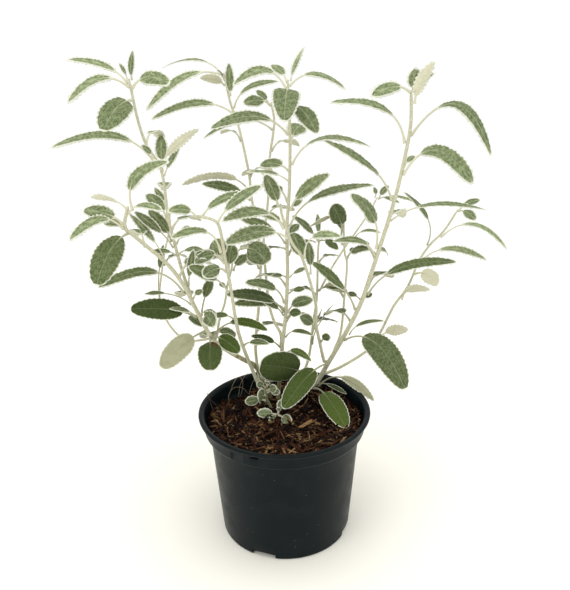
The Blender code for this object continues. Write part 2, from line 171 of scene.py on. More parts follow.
# The other leaves, most of them smaller, which the frame leaves out.
SMALL_LEAVES = {
    "left_tall": leaves(
        (341, 2, 2, 17, 4.6, 1, 85, 0.1), (341, -3, -5, 10, 3, 1, 80), (291, -6, -6, 9, 5, 1, 60),
        (281, -3, 22, 20, 9, 2, 70), (284, 25, 10, 22, 7, 3, -60), (278, 10, 10, 17, 5, 1, 60),
        (228, -22, -11, 28, 7, 2, 60, 0.4), (232, -15, 4, 21, 9, 2, 60),
        (247, -16, 16, 14, 10, 3, 50), (222, -14, -14, 6, 5, 2, 40), (222, 18, -10, 5, 6, 2, 30),
        (229, 8, 10, 9, 7, 1, -80), (200, 6, -8, 28, 6, 1, 80)),
    "left_front": leaves(
        (262, -28, 25, 1, 7, 3, -60), (247, -18, 16, 0, 7, 3, 50), (262, 24, -16, 4, 7, 4, 30),
        (221, -25, 14, 30, 6, 3, 20, 0.4), (190, 6, 6, 3, 5, 1, 60),
        (187, -34, 10, 4, 5, 4, 20, 0.6), (178, -17, -4, 7, 5, 2, 30), (178, 12, -8, 2, 6, 2, 40),
        (176, 7, 14, 22, 8, 2, 60, 0.5), (172, 10, -24, 6, 11, 6, 60), (160, -16, 20, 5, 8, 3, 50),
        (158, 39, 12, -3, 8, 9, 40, 0.35), (157, 15, 14, -8, 8, 3, 50)),
    "front_left": leaves(
        (257, -15, -16, 7, 8, 3, 60), (222, -20, 11, 2, 10, 3, 30), (217, -13, -13, 0, 11, 3, 50),
        (214, 2, 14, 14, 12, 2, 60), (174, -16, 8, -2, 5, 2, 50), (150, 18, -9, 4, 6, 2, 30),
        (226, -20, 9, -7, 10, 3, 50), (222, -9, 14, 10, 14, 2, 60)),
    "inner_left": leaves(
        (221, 17, -12, -8, 18, 3, 60, 0.12), (221, 18, 3, 8, 5, 2, -20), (203, 12, 3, 10, 8, 2, 50),
        (190, -4, -8, 4, 5, 1, 60)),
    "back_left": leaves(
        (323, 0, -4, 23, 7, 1, 85, 0.1), (331, -17, -3, 5, 7, 2, -80, 0.1),
        (339, -45, 10, 4, 6, 8, 20), (335, -4, -8, 6, 6, 1, 50), (314, 34, 5, 17, 7, 7, 30),
        (311, -60, -5, -4, 9, 9, 38), (252, -49, -17, 8, 9, 9, -50), (244, -36, -6, 14, 9, 4, 50),
        (190, -12, -6, 12, 10, 2, -100)),
    "back_centre": leaves(
        (319, -9, 0, 9, 6, 1, 60), (318, -18, -15, 2, 10, 3, 60), (300, -49, -10, -5, 8, 9, 25)),
    "centre": leaves(
        (338, 9, 2, 20, 4, 1, 70, 0.1), (337, -10, 23, 9, 8, 2, 50), (335, 36, 2, -4, 7, 8, 25),
        (296, 8, 30, 8, 14, 3, 60), (277, -20, 26, -1, 10, 3, 50), (270, -29, 21, 2, 5, 3, 30),
        (250, 8, -2, 6, 5, 1, 60), (236, -18, 8, 7, 7, 3, 40), (226, 8, 18, 6, 7, 2, 50),
        (225, -30, -17, 22, 8, 4, 50, 0.4), (198, 12, -5, 8, 4, 1, 50), (198, -10, -8, 3, 4, 1, 50),
        (185, 11, -4, 4, 5, 1, 50), (172, -36, -14, 9, 9, 4, 50), (170, 18, -21, 17, 9, 3, 70),
        (167, -19, -11, 18, 6, 2, 50), (165, 10, -12, 8, 7, 2, 60), (149, 20, -12, 5, 4, 4, 40),
        (139, -21, -7, 12, 6, 2, 50), (133, 20, -12, -1, 6, 5, 60)),
    "front_centre": leaves(
        (220, 25, -12, 17, 7, 9, 50, 0.45), (213, -8, 17, 18, 12, 2, 60),
        (206, -2, -10, 26, 7, 2, 85), (157, -12, -19, 17, 9, 2, 60), (143, 6, -10, 8, 7, 1, 70)),
    "right_main": leaves(
        (332, 2, 2, 13, 9, 1, 80, 0.1), (332, -25, -14, -2, 10, 4, 50), (332, 12, 0, 10, 4, 1, 50),
        (325, 10, -4, 24, 8, 2, -70, 0.15), (283, 8, 8, 5, 5, 1, 50),
        (245, 68, 10, 3, 7, 8, 20, 0.3), (218, -30, -6, 11, 6, 6, 40), (217, -15, 24, -7, 8, 3, 50),
        (217, 10, 24, -8, 8, 3, 50), (178, 8, 12, 0, 5, 1, 50), (178, -8, 12, 0, 5, 1, 50),
        (150, 25, -6, 12, 4, 4, 40), (100, 20, -13, -3, 4, 2, 40),
        (99, 41, -23, -3, 8, 12, -120, 0.45)),
    "right_side": leaves(
        (239, 8, -17, -3, 8, 2, 60), (239, 18, 10, 5, 6, 2, 50), (210, -20, 4, 40, 7, 8, 20, 0.45),
        (199, 48, -8, 1, 8, 9, 25, 0.3), (187, 14, -13, -6, 13, 4, -130),
        (167, 19, -12, 11, 7, 5, -90), (136, 19, -13, 11, 9, 2, -100)),
    "inner_right": leaves(
        (234, -25, -10, -6, 5, 2, -60), (222, -9, -9, 23, 14, 2, 60), (219, -5, 2, 22, 6, 1, 80)),
    "back_upright": leaves(
        (210, 13, -10, -5, 7, 2, 60), (210, -20, -15, 24, 7, 2, 50), (210, 0, 20, 16, 5, 1, 60),
        (169, 22, -11, 2, 8, 4, -100), (125, 8, -8, 34, 5, 2, 10, 0.5),
        (125, 16, -10, 38, 5, 3, 10, 0.5)),
    "back_right": leaves(
        (240, -2, 0, 8, 4, 1, 60), (240, 8, 2, 10, 6, 1, 60), (240, 16, -5, -3, 4, 2, 50),
        (240, 35, -2, -6, 4, 4, 30), (210, 21, -1, 3, 4, 4, 30)),
    "far_left": leaves((241, -10, 5, 16, 6, 1, 60), (175, 8, -8, 45, 6, 3, 40, 0.6)),
}

# Leaves on the far side, which the frame leaves out too.
BACK_LEAVES = {
    "centre": leaves(
        (255, -18, 28, 4, 11, 6, -20), (215, 20, 26, 0, 12, 6, -8), (190, -22, 28, -4, 12, 6, -8),
        (160, 16, 26, -8, 13, 5, -5)),
    "back_left": leaves(
        (290, -16, 18, 2, 8, 5, -20), (262, 16, 18, 0, 9, 5, -20), (225, -22, 20, 0, 11, 5, -8),
        (200, 20, 22, -4, 11, 5, -5), (165, -24, 22, -6, 13, 5, -5), (140, 20, 24, -8, 14, 5, -5)),
    "back_centre": leaves(
        (285, 20, 26, -2, 9, 6, -20), (262, -20, 26, -2, 10, 6, -20), (235, 20, 28, -4, 12, 6, -8),
        (205, -18, 30, -6, 13, 6, -5)),
    "back_upright": leaves(
        (192, 18, 18, -2, 10, 4, -8), (165, -20, 20, -4, 12, 4, -5), (140, 20, 22, -8, 13, 4, -5)),
    "right_main": leaves(
        (240, 16, 34, -4, 11, 8, -20), (214, -20, 36, -2, 12, 8, -8), (190, 22, 34, -6, 13, 8, -8),
        (158, -16, 30, -8, 15, 6, -5)),
    "left_front": leaves(
        (235, -12, 32, -4, 11, 8, -20), (208, 18, 32, -4, 13, 8, -8), (185, -14, 32, -6, 13, 7, -8),
        (150, -12, 32, -10, 15, 6, -5)),
    "left_tall": leaves(
        (300, 6, 30, -4, 9, 7, -25), (262, -6, 32, -2, 10, 8, -20), (240, 16, 26, -2, 11, 6, -8)),
    "far_left": leaves((225, -6, 24, 0, 8, 5, -20), (200, 14, 24, -2, 10, 5, -8)),
    "inner_right": leaves((200, 16, 22, -2, 10, 5, -8), (170, -18, 24, -4, 12, 5, -5)),
    "back_right": leaves((225, 2, 12, 2, 7, 3, -20)),
}

SPROUT_LEAVES = {
    "front_sprout": leaves(
        (94, -14, -1, 2, 8, 0.5, 55, 0.2), (94, 5, 2, 11, 7, 0.5, 70, 0.2),
        (93, 9, -9, -1, 8, 0.5, 55, 0.3), (93, -6, -7, 0, 6, 0.5, 50, 0.2),
        (94.4, 1, -1, 5, 4, 0.2, 80)),
    "low_sprout": leaves(
        (104, -5, -9, 3, 12, 0.5, 75, 0.15), (99, -15, -3, 0, 8, 1, 60, 0.35),
        (108, 7, -4, 4, 7, 0.5, 60), (110, -6, -4, 5, 6, 0.5, 60), (113, 4, -1, 8, 5, 0.5, 70),
        (113, -3, 0, 9, 5, 0.5, 75), (112, 1, -4, 5, 5, 0.5, 70), (106, 9, -2, 0, 6, 1, 50)),
}

# How a leaf looks where its height doesn't settle it: how much felt covers its green, from 0 to
# 1, how far the green leans towards yellow, and how far along the blade is widest. Young leaves
# near the top are the most felted.
Look = namedtuple("Look", "felt yellow widest", defaults=(0.5,))
LOOKS = {f"{group}_{number}": Look(*look) for group, looks in {
    "left_tall_leaf": {
        1: (0.85, 0.4), 2: (1.0, 0.3), 3: (0.75, 0.4, 0.55), 4: (0.5, 0.4, 0.45), 5: (0.7, 0.4)},
    "left_tall_small_leaf": {1: (0.45, 0.3)},
    "left_front_leaf": {
        3: (0.85, 0.5), 4: (0.28, 0.55, 0.55), 6: (0.03, 0.35), 7: (0.0, 0.5), 8: (0.05, 0.45),
        9: (0.0, 0.7)},
    "right_main_leaf": {
        1: (0.5, 0.3), 3: (0.7, 0.4, 0.55), 8: (0.25, 0.3), 9: (0.04, 0.7, 0.48), 10: (0.06, 0.45),
        11: (0.0, 1.0)},
    "right_main_small_leaf": {2: (0.85, 0.4), 4: (1.0, 0.4)},
    "right_side_leaf": {1: (1.0, 0.3)},
    "right_side_small_leaf": {4: (0.9, 0.3), 5: (0.5, 0.3), 6: (0.7, 0.3), 7: (0.8, 0.3)},
    "centre_leaf": {1: (0.85, 0.3), 2: (0.5, 0.3, 0.38), 3: (0.4, 0.3)},
    "centre_small_leaf": {1: (1.0, 0.4), 20: (0.1, 1.0)},
    "front_centre_leaf": {1: (0.45, 0.3)},
    "front_centre_small_leaf": {1: (1.0, 0.3)},
    "back_left_leaf": {1: (0.9, 0.3)},
    "back_left_small_leaf": {1: (0.6, 0.7)},
    "left_front_small_leaf": {12: (0.0, 1.0)},
}.items() for number, look in looks.items()}


# ================================================================ sizes and colours

def length(name, description, millimetres):
    return FloatProperty(
        name=name, description=description, default=millimetres * MM, unit="LENGTH")


def number_of(name, description, default, least=0):
    return IntProperty(name=name, description=description, default=default, min=least)


def strength(name, description, default, unit="NONE", least=0):
    return FloatProperty(
        name=name, description=description, default=default, min=least, unit=unit)


def in_degrees(name, description, degrees):
    return FloatProperty(
        name=name, description=description, subtype="ANGLE", default=math.radians(degrees))


def colour(name, description, *default):
    return FloatVectorProperty(
        name=name, description=description, subtype="COLOR", default=default, min=0, max=1)


class PotSettings(bpy.types.PropertyGroup):
    """Sizes and colour of the nursery pot."""
    rim_radius: length("Rim radius", "Outside of the bead round the top", POT_BOX[1].x / MM)
    height: length("Height", "From the table to the top of the rim", POT_BOX[1].z / MM)
    bead: length("Bead", "Height of the rounded bead", 2.4)
    collar_radius: length("Collar radius", "Outside of the band under the bead", 61)
    collar_height: length("Collar height", "From the rim down to the shoulder", 13)
    shoulder_radius: length("Shoulder radius", "Outside, just under the collar", 57)
    foot_radius: length("Foot radius", "Outside, at the table", 50)
    wall: length("Wall", "Thickness of the plastic", 1.3)
    segments: number_of("Segments", "Straight sides round the pot", 128, 48)
    colour: colour("Colour", "Blue-black moulded plastic", 0.0025, 0.0060, 0.0075)
    dust: colour("Dust", "Specks of dry compost", 0.15, 0.14, 0.115)


class CompostSettings(bpy.types.PropertyGroup):
    """Sizes and colours of the shredded bark."""
    level: length("Level", "Height of the compost round the stems", COMPOST_BOX[1].z / MM)
    chips: number_of("Chips", "Large pieces of bark", 1500)
    crumbs: number_of("Crumbs", "Small pieces of bark", 3000)
    slivers: number_of("Slivers", "Pale splinters of wood", 150)
    chip_length: length("Chip length", "A middling large piece", 10)
    crumb_length: length("Crumb length", "A middling small piece", 4.5)
    dark: colour("Dark bark", "Most of the bark", 0.006, 0.003, 0.002)
    red: colour("Red bark", "The redder pieces", 0.080, 0.027, 0.011)
    tan: colour("Tan wood", "Slivers of pale wood", 0.33, 0.20, 0.085)


class FoliageSettings(bpy.types.PropertyGroup):
    """Sizes and colours of the stems and leaves."""
    blade_thickness: length("Blade thickness", "Across the felt", 0.55)
    stalk_radius: length("Stalk radius", "Of a large leaf's stalk", 0.7)
    tooth_pitch: length("Tooth pitch", "Between two teeth of the margin", 3.0)
    tooth_depth: length("Tooth depth", "Of the rounded teeth", 1.7)
    margin: length("White margin", "Width of the felt line round an old leaf", 0.55)
    deep_green: colour("Deep green", "Bare upper face", 0.0155, 0.032, 0.0045)
    yellow_green: colour(
        "Yellow green", "Bare upper face of the yellower leaves", 0.058, 0.095, 0.004)
    hair: colour("Hair", "Felt over the upper face", 0.40, 0.47, 0.24)
    felt: colour("Felt", "Stems, stalks and the underside of young leaves", 0.72, 0.70, 0.52)
    old_felt: colour("Old felt", "The underside of old leaves", 0.34, 0.34, 0.21)
    bark: colour("Bark", "The foot of the old stems", 0.20, 0.19, 0.06)


class StageSettings(bpy.types.PropertyGroup):
    """The floor, the light and the camera."""
    floor: colour("Floor", "A plain pale floor", 0.985, 0.965, 0.87)
    sky: strength("Sky", "Strength of the soft light from all round", 1.03)
    overhead: strength("Overhead", "Power of the light above", 4.0, "POWER")
    side: strength("Side", "Power of the light at the left", 3.0, "POWER")
    lens: strength("Lens", "Focal length in millimetres", 42.71, least=10)
    place: FloatVectorProperty(
        name="Camera place", description="Where the camera stands", subtype="TRANSLATION",
        default=(1.9 * MM, -465.5 * MM, 370.9 * MM), unit="LENGTH")
    pitch: in_degrees("Pitch", "How far the camera looks down", 21.04)
    roll: in_degrees("Roll", "How far the camera leans", 0.91)


# ================================================================ modelling helpers

def work_in(mode):
    bpy.ops.object.mode_set(mode=mode)


def clear_selection():
    if bpy.context.mode != "OBJECT":
        work_in("OBJECT")
    bpy.ops.object.select_all(action="DESELECT")


def pick(first, *others):
    clear_selection()
    for chosen in (first, *others):
        chosen.select_set(True)
    bpy.context.view_layer.objects.active = first


def settle(piece):
    """Puts the piece's place, turn and scale into its mesh."""
    pick(piece)
    bpy.ops.object.transform_apply(location=True, rotation=True, scale=True)


def apply_modifiers(piece):
    pick(piece)
    for modifier in list(piece.modifiers):
        bpy.ops.object.modifier_apply(modifier=modifier.name)


def face_outwards(piece, merge=0.0):
    """Turns every face outwards, after merging the points that are closer than merge."""
    pick(piece)
    work_in("EDIT")
    bpy.ops.mesh.select_all(action="SELECT")
    if merge:
        bpy.ops.mesh.remove_doubles(threshold=merge)
    bpy.ops.mesh.normals_make_consistent(inside=False)
    work_in("OBJECT")


def smooth(piece, degrees):
    """Shades the piece smooth, save at edges sharper than this."""
    pick(piece)
    bpy.ops.object.shade_smooth_by_angle(angle=math.radians(degrees))


def discard(helper):
    bpy.data.objects.remove(helper, do_unlink=True)


def hand_over(piece, slot, *nodes):
    """A finished piece rides in the frame, and stands for the nodes it is named with."""
    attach(piece, BODY)
    if nodes:
        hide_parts(*nodes)


def coordinates(mesh):
    """The mesh's points as an array."""
    flat = np.empty(len(mesh.vertices) * 3, np.float32)
    mesh.vertices.foreach_get("co", flat)
    return flat.reshape(-1, 3)


def set_coordinates(mesh, places):
    mesh.vertices.foreach_set("co", np.ascontiguousarray(places, np.float32).ravel())
    mesh.update()


def set_attribute(mesh, name, values):
    layer = mesh.attributes.get(name) or mesh.attributes.new(name, "FLOAT", "POINT")
    values = np.broadcast_to(np.asarray(values, np.float32), (len(mesh.vertices),))
    layer.data.foreach_set("value", np.ascontiguousarray(values))


def turned(name, profile, segments):
    """A closed turned shape: a filled circle drawn ring by ring through (radius, height)."""
    clear_selection()
    radius, height = profile[0]
    bpy.ops.mesh.primitive_circle_add(
        vertices=segments, radius=radius * MM, fill_type="NGON", location=(0, 0, height * MM))
    piece = bpy.context.object
    piece.name = name
    work_in("EDIT")
    for (radius, height), (wider, higher) in zip(profile, profile[1:]):
        bpy.ops.mesh.extrude_region_move(
            TRANSFORM_OT_translate={"value": (0, 0, (higher - height) * MM)})
        bpy.ops.transform.resize(
            value=(wider / radius, wider / radius, 1), center_override=(0, 0, higher * MM))
    work_in("OBJECT")
    settle(piece)
    face_outwards(piece)
    return piece


def cut_box(piece, size, angle, height, radius):
    """Cuts a box out of a turned piece, at that angle round it."""
    clear_selection()
    turn = math.radians(angle)
    place = Vector((radius * math.cos(turn), radius * math.sin(turn), height)) * MM
    bpy.ops.mesh.primitive_cube_add(
        size=1, location=place, rotation=(0, 0, turn), scale=Vector(size) * MM)
    cutter = bpy.context.object
    settle(cutter)
    cut = piece.modifiers.new("Cut", "BOOLEAN")
    cut.operation = "DIFFERENCE"
    cut.object = cutter
    apply_modifiers(piece)
    discard(cutter)


def tube(name, points, radii, sides):
    """A tube with closed ends along the points, in millimetres."""
    clear_selection()
    bpy.ops.curve.primitive_nurbs_path_add()
    piece = bpy.context.object
    piece.name = name
    curve = piece.data
    curve.splines.clear()
    spline = curve.splines.new("POLY")
    spline.points.add(len(points) - 1)
    for point, place, radius in zip(spline.points, points, radii):
        point.co = (*(place * MM), 1)
        point.radius = radius
    curve.bevel_depth = MM
    curve.bevel_resolution = sides
    curve.use_fill_caps = True
    bpy.ops.object.convert(target="MESH")
    piece = bpy.context.object
    face_outwards(piece, merge=0.01 * MM)
    piece.data.shade_smooth()
    return piece


# ================================================================ finishes

WHITE_FELT = (0.78, 0.79, 0.66)       # the felt line round a leaf, on both faces


class Finish:
    """Lays out the nodes of one material."""

    def __init__(self, name, roughness, **constants):
        self.material = bpy.data.materials.new(name)
        self.material.use_nodes = True
        self.tree = self.material.node_tree
        self.shader = self.tree.nodes["Principled BSDF"]
        self.shader.inputs["Roughness"].default_value = roughness
        for socket, value in constants.items():
            self.shader.inputs[socket.replace("_", " ")].default_value = value

    def node(self, kind, inputs, **settings):
        made = self.tree.nodes.new("ShaderNode" + kind)
        for setting, value in settings.items():
            setattr(made, setting, value)
        for socket, value in inputs.items():
            if isinstance(value, bpy.types.NodeSocket):
                self.tree.links.new(value, made.inputs[socket])
            else:
                made.inputs[socket].default_value = value
        return made

    def sum(self, operation, *values, clamp=False):
        """One Math node."""
        return self.node(
            "Math", dict(enumerate(values)), operation=operation, use_clamp=clamp).outputs[0]

    def mix(self, share, first, second):
        """Colours mixed: all first at 0, all second at 1."""
        first, second = (
            (*colour, 1) if not isinstance(colour, bpy.types.NodeSocket) else colour
            for colour in (first, second))
        return self.node("Mix", {0: share, 6: first, 7: second}, data_type="RGBA").outputs[2]

    def between(self, value, low, high, start=0.0, end=1.0):
        """Rises smoothly from start to end as the value goes from low to high."""
        return self.node("MapRange", {
            "Value": value, "From Min": low, "From Max": high, "To Min": start, "To Max": end,
        }, interpolation_type="SMOOTHSTEP").outputs[0]

    def attribute(self, name):
        return self.node("Attribute", {}, attribute_name=name).outputs["Fac"]

    def place(self, stretch=(1, 1, 1)):
        """Object coordinates in millimetres, stretched."""
        source = self.node("TexCoord", {}).outputs["Object"]
        scale = tuple(1000 * share for share in stretch)
        return self.node("Mapping", {"Vector": source, "Scale": scale}).outputs[0]

    def noise(self, place, size, detail=2.0, rough=0.5):
        """Cloudy noise whose blotches are about this many millimetres across."""
        return self.node("TexNoise", {
            "Vector": place, "Scale": 1 / size, "Detail": detail, "Roughness": rough}).outputs[0]

    def cells(self, place, size, feature="DISTANCE_TO_EDGE"):
        return self.node(
            "TexVoronoi", {"Vector": place, "Scale": 1 / size}, feature=feature).outputs["Distance"]

    def colour(self, value):
        self.tree.links.new(value, self.shader.inputs["Base Color"])

    def rough(self, value):
        self.tree.links.new(value, self.shader.inputs["Roughness"])

    def bump(self, height, depth):
        made = self.node("Bump", {"Height": height, "Distance": depth * MM})
        self.tree.links.new(made.outputs[0], self.shader.inputs["Normal"])


def once(make):
    """Makes a finish the first time it is asked for, and then gives the same one."""
    def ready():
        name = make.__name__ + "_finish"
        return bpy.data.materials.get(name) or make(name)
    return ready


@once
def pot_plastic(name):
    """Satin blue-black plastic with fine moulding grain, rubbed patches and dry dust."""
    pot = bpy.context.scene.shrub_pot
    made = Finish(name, 0.36, Specular_IOR_Level=0.1)
    place = made.place()
    cloud = made.noise(place, 14, 4, 0.6)
    rubbed = made.mix(made.between(cloud, 0.42, 0.75, 0, 0.35), pot.colour, (0.011, 0.016, 0.018))
    speck = made.between(made.cells(place, 4.0, "F1"), 0.105, 0.06)
    seldom = made.between(made.noise(place, 9, 1), 0.47, 0.58)
    dusty = made.sum("MULTIPLY", speck, seldom)
    made.colour(made.mix(made.sum("MULTIPLY", dusty, 0.7), rubbed, pot.dust))
    grain = made.noise(place, 0.5, 3, 0.6)
    streak = made.noise(made.place((1, 1, 0.06)), 1.6, 2)
    uneven = made.sum("ADD", made.between(cloud, 0.3, 0.8, 0.30, 0.46), dusty)
    made.rough(made.sum("ADD", uneven, made.sum("MULTIPLY", streak, 0.05), clamp=True))
    made.bump(made.sum("ADD", grain, made.sum("MULTIPLY", streak, 1.2)), 0.035)
    return made.material


@once
def compost_soil(name):
    """Damp crumbs between the chips."""
    compost = bpy.context.scene.shrub_compost
    made = Finish(name, 0.85, Specular_IOR_Level=0.05)
    place = made.place()
    crumbs = made.cells(place, 1.6, "F1")
    tone = made.noise(place, 5, 4, 0.65)
    dark = made.mix(made.between(tone, 0.4, 0.7), (0.004, 0.002, 0.002), compost.dark)
    made.colour(made.mix(made.between(crumbs, 0.1, 0.6, 0.3, 0), dark, compost.red))
    made.bump(made.sum("ADD", crumbs, made.noise(place, 0.6, 3)), 0.8)
    return made.material


@once
def bark_chip(name):
    """Shredded bark and wood, from nearly black through red-brown to tan."""
    compost = bpy.context.scene.shrub_compost
    made = Finish(name, 0.68, Specular_IOR_Level=0.08)
    place = made.place()
    tone = made.attribute("tone")
    grain = made.noise(place, 0.7, 4, 0.65)
    blotch = made.noise(place, 3.2, 3, 0.6)
    uneven = made.sum("MULTIPLY", made.sum("SUBTRACT", blotch, 0.5), 0.35)
    shaded = made.sum("ADD", tone, uneven)
    brown = made.mix(made.between(shaded, 0.15, 0.6), compost.dark, compost.red)
    wood = made.mix(made.between(shaded, 0.74, 0.95), brown, compost.tan)
    made.colour(made.mix(made.between(grain, 0.45, 0.62, 0.55, 0), wood, (0.010, 0.005, 0.004)))
    made.rough(made.between(blotch, 0.3, 0.7, 0.5, 0.85))
    made.bump(grain, 0.35)
    return made.material


@once
def root_fibre(name):
    """Thin dry roots and straw-coloured fibres."""
    made = Finish(name, 0.8)
    tone = made.attribute("tone")
    streak = made.noise(made.place(), 0.8, 2)
    pale = made.mix(tone, (0.05, 0.03, 0.02), (0.40, 0.32, 0.20))
    made.colour(made.mix(made.between(streak, 0.35, 0.65, 0, 0.4), pale, (0.07, 0.045, 0.03)))
    made.bump(streak, 0.1)
    return made.material


def felt_bump(made, place, depth):
    """Matted wool: fine short hairs in two sizes."""
    wool = made.sum("ADD", made.noise(place, 0.22, 4, 0.7), made.noise(place, 0.9, 3, 0.6))
    made.bump(wool, depth)
    return wool


@once
def stem_felt(name):
    """Cream wool over the stems, worn through to olive bark on the old wood near the compost."""
    foliage = bpy.context.scene.shrub_foliage
    made = Finish(
        name, 0.8, Sheen_Weight=0.35, Sheen_Roughness=0.5, Specular_IOR_Level=0.2)
    place = made.place()
    wool = felt_bump(made, place, 0.12)
    patch = made.noise(made.place((1, 1, 0.3)), 2.6, 4, 0.6)
    age = made.attribute("age")
    bare = made.between(made.sum("ADD", patch, made.sum("MULTIPLY", age, 0.6)), 0.66, 0.88)
    shadow = made.mix(made.between(wool, 0.75, 1.2, 0.9, 0.12), foliage.felt, (0.36, 0.36, 0.22))
    made.colour(made.mix(made.sum("MULTIPLY", bare, 0.9), shadow, foliage.bark))
    return made.material


@once
def leaf_underside(name):
    """Felt under the leaf and on its stalk: cream when young, khaki when old."""
    foliage = bpy.context.scene.shrub_foliage
    made = Finish(
        name, 0.82, Sheen_Weight=0.35, Sheen_Roughness=0.5, Specular_IOR_Level=0.2)
    place = made.place()
    wool = felt_bump(made, place, 0.10)
    young = made.between(made.attribute("felt"), 0.0, 0.75)
    blotch = made.noise(place, 3.5, 3, 0.6)
    mixed = made.mix(young, foliage.old_felt, foliage.felt)
    patchy = made.mix(made.between(blotch, 0.4, 0.7, 0, 0.25), mixed, (0.50, 0.52, 0.36))
    hem = made.between(made.attribute("edge"), 0.9, 0.5, 0, 0.9)
    on_blade = made.sum("SUBTRACT", 1.0, made.attribute("stalk"))
    patchy = made.mix(made.sum("MULTIPLY", hem, on_blade), patchy, WHITE_FELT)
    # Painted shade: the felt is darkened towards (0.33, 0.33, 0.20) in the hollows of the wool
    # bump.
    made.colour(made.mix(made.between(wool, 0.7, 1.3, 0.3, 0), patchy, (0.33, 0.33, 0.20)))
    return made.material


@once
def leaf_upper(name):
    """The upper face: green under thin grey hair, with pale veins and a white felt margin.

    The UV map is the blade laid flat, a tenth of a metre to the unit, with the midrib on V 0.5.
    """
    foliage = bpy.context.scene.shrub_foliage
    made = Finish(name, 0.62, Specular_IOR_Level=0.12)
    flat = made.node("UVMap", {}, uv_map="blade").outputs[0]
    flat_mm = made.node("Mapping", {"Vector": flat, "Scale": (100, 100, 100)}).outputs[0]
    apart = made.node("SeparateXYZ", {"Vector": flat_mm})
    along = apart.outputs[0]
    across = made.sum("ABSOLUTE", made.sum("SUBTRACT", apart.outputs[1], 50.0))
    felt = made.attribute("felt")
    # veins: the midrib, the slanting side veins and the net between them
    wobble = made.sum("MULTIPLY", made.noise(flat_mm, 3, 2), 0.8)
    midrib = made.between(across, 0.5, 0.15)
    slanted = made.sum("SUBTRACT", along, made.sum("MULTIPLY", across, 0.8))
    slanted = made.sum("ADD", slanted, wobble)
    ripple = made.sum("PINGPONG", slanted, 1.9)
    side_vein = made.between(ripple, 0.32, 0.05)
    net = made.between(made.cells(flat_mm, 1.25), 0.13, 0.02)
    side_vein = made.sum("MULTIPLY", side_vein, 0.55)
    vein = made.sum("MAXIMUM", side_vein, made.sum("MULTIPLY", net, 0.5))
    vein = made.sum("MAXIMUM", vein, midrib)
    # green, leaf to leaf and blotch to blotch
    blotch = made.noise(flat_mm, 5, 3, 0.6)
    lean = made.sum("ADD", made.attribute("yellow"), made.sum(
        "MULTIPLY", made.sum("SUBTRACT", blotch, 0.5), 0.7), clamp=True)
    green = made.mix(lean, foliage.deep_green, foliage.yellow_green)
    # thin hair, thickest on the young leaves
    hair = made.noise(flat_mm, 1.1, 5, 0.8)
    tufts = made.noise(flat_mm, 2.7, 3, 0.7)
    matted = made.sum("ADD", made.between(hair, 0.40, 0.62), made.between(tufts, 0.38, 0.64))
    cover = made.sum("MULTIPLY", felt, made.sum("ADD", made.sum("MULTIPLY", matted, 0.66), 0.06))
    thin = made.sum("ADD", cover, made.sum("MULTIPLY", matted, 0.015))
    haired = made.mix(made.sum("MULTIPLY", thin, 0.9, clamp=True), green, foliage.hair)
    vein_share = made.sum("MULTIPLY", vein, made.between(felt, 0.0, 0.6, 0.13, 0.45))
    veined = made.mix(vein_share, haired, (0.52, 0.57, 0.38))
    burnt = made.mix(made.attribute("browning"), veined, (0.10, 0.035, 0.015))
    # the white line where the felt below wraps round the edge
    ragged = made.sum("ADD", made.attribute("edge"), made.sum(
        "MULTIPLY", made.sum("SUBTRACT", hair, 0.5), 0.5))
    width = made.sum("ADD", foliage.margin / MM, made.sum("MULTIPLY", felt, 0.7))
    white = made.between(made.sum("DIVIDE", ragged, width), 1.25, 0.7)
    made.colour(made.mix(made.sum("MULTIPLY", white, 0.95), burnt, WHITE_FELT))
    made.rough(made.between(felt, 0.0, 0.5, 0.42, 0.75))
    puckers = made.sum("SUBTRACT", made.between(made.cells(flat_mm, 1.25), 0.0, 0.35), vein)
    made.bump(made.sum("ADD", puckers, made.sum("MULTIPLY", cover, 0.9)), 0.16)
    return made.material


@once
def pale_floor(name):
    """Warm white near the pot, and plain white further off. The warm tint is painted shade colour:
    it lies where the pot's shadow falls and warms that shadow.
    """
    made = Finish(name, 0.75, Specular_IOR_Level=0.2)
    stage = bpy.context.scene.shrub_stage
    place = made.place()
    grain = made.noise(place, 120, 2)
    warm = made.mix(made.between(grain, 0.3, 0.7, 0, 0.2), stage.floor, (0.98, 0.96, 0.855))
    # Painted shade colour: within about 250 mm of the pot, where its shadow falls, the floor keeps
    # its warm tint; further off it is plain white.
    away = made.node("VectorMath", {0: place}, operation="LENGTH").outputs["Value"]
    made.colour(made.mix(made.between(away, 250, 700), warm, (0.99, 0.99, 0.99)))
    return made.material


# ================================================================ pot

POT_FLOOR = 1.8
# A cut's size (into the wall, round it, upwards), its angle round the pot and its height.
NOTCHES = [((8, 18, 9.2), angle, 0) for angle in (70, 160, 250, 340)]
COLLAR_SLOT = ((8, 6, 1.8), 250, 94.4)
COLLAR_STEP = ((1.0, 9.5, 8.4), 237, 89.6)


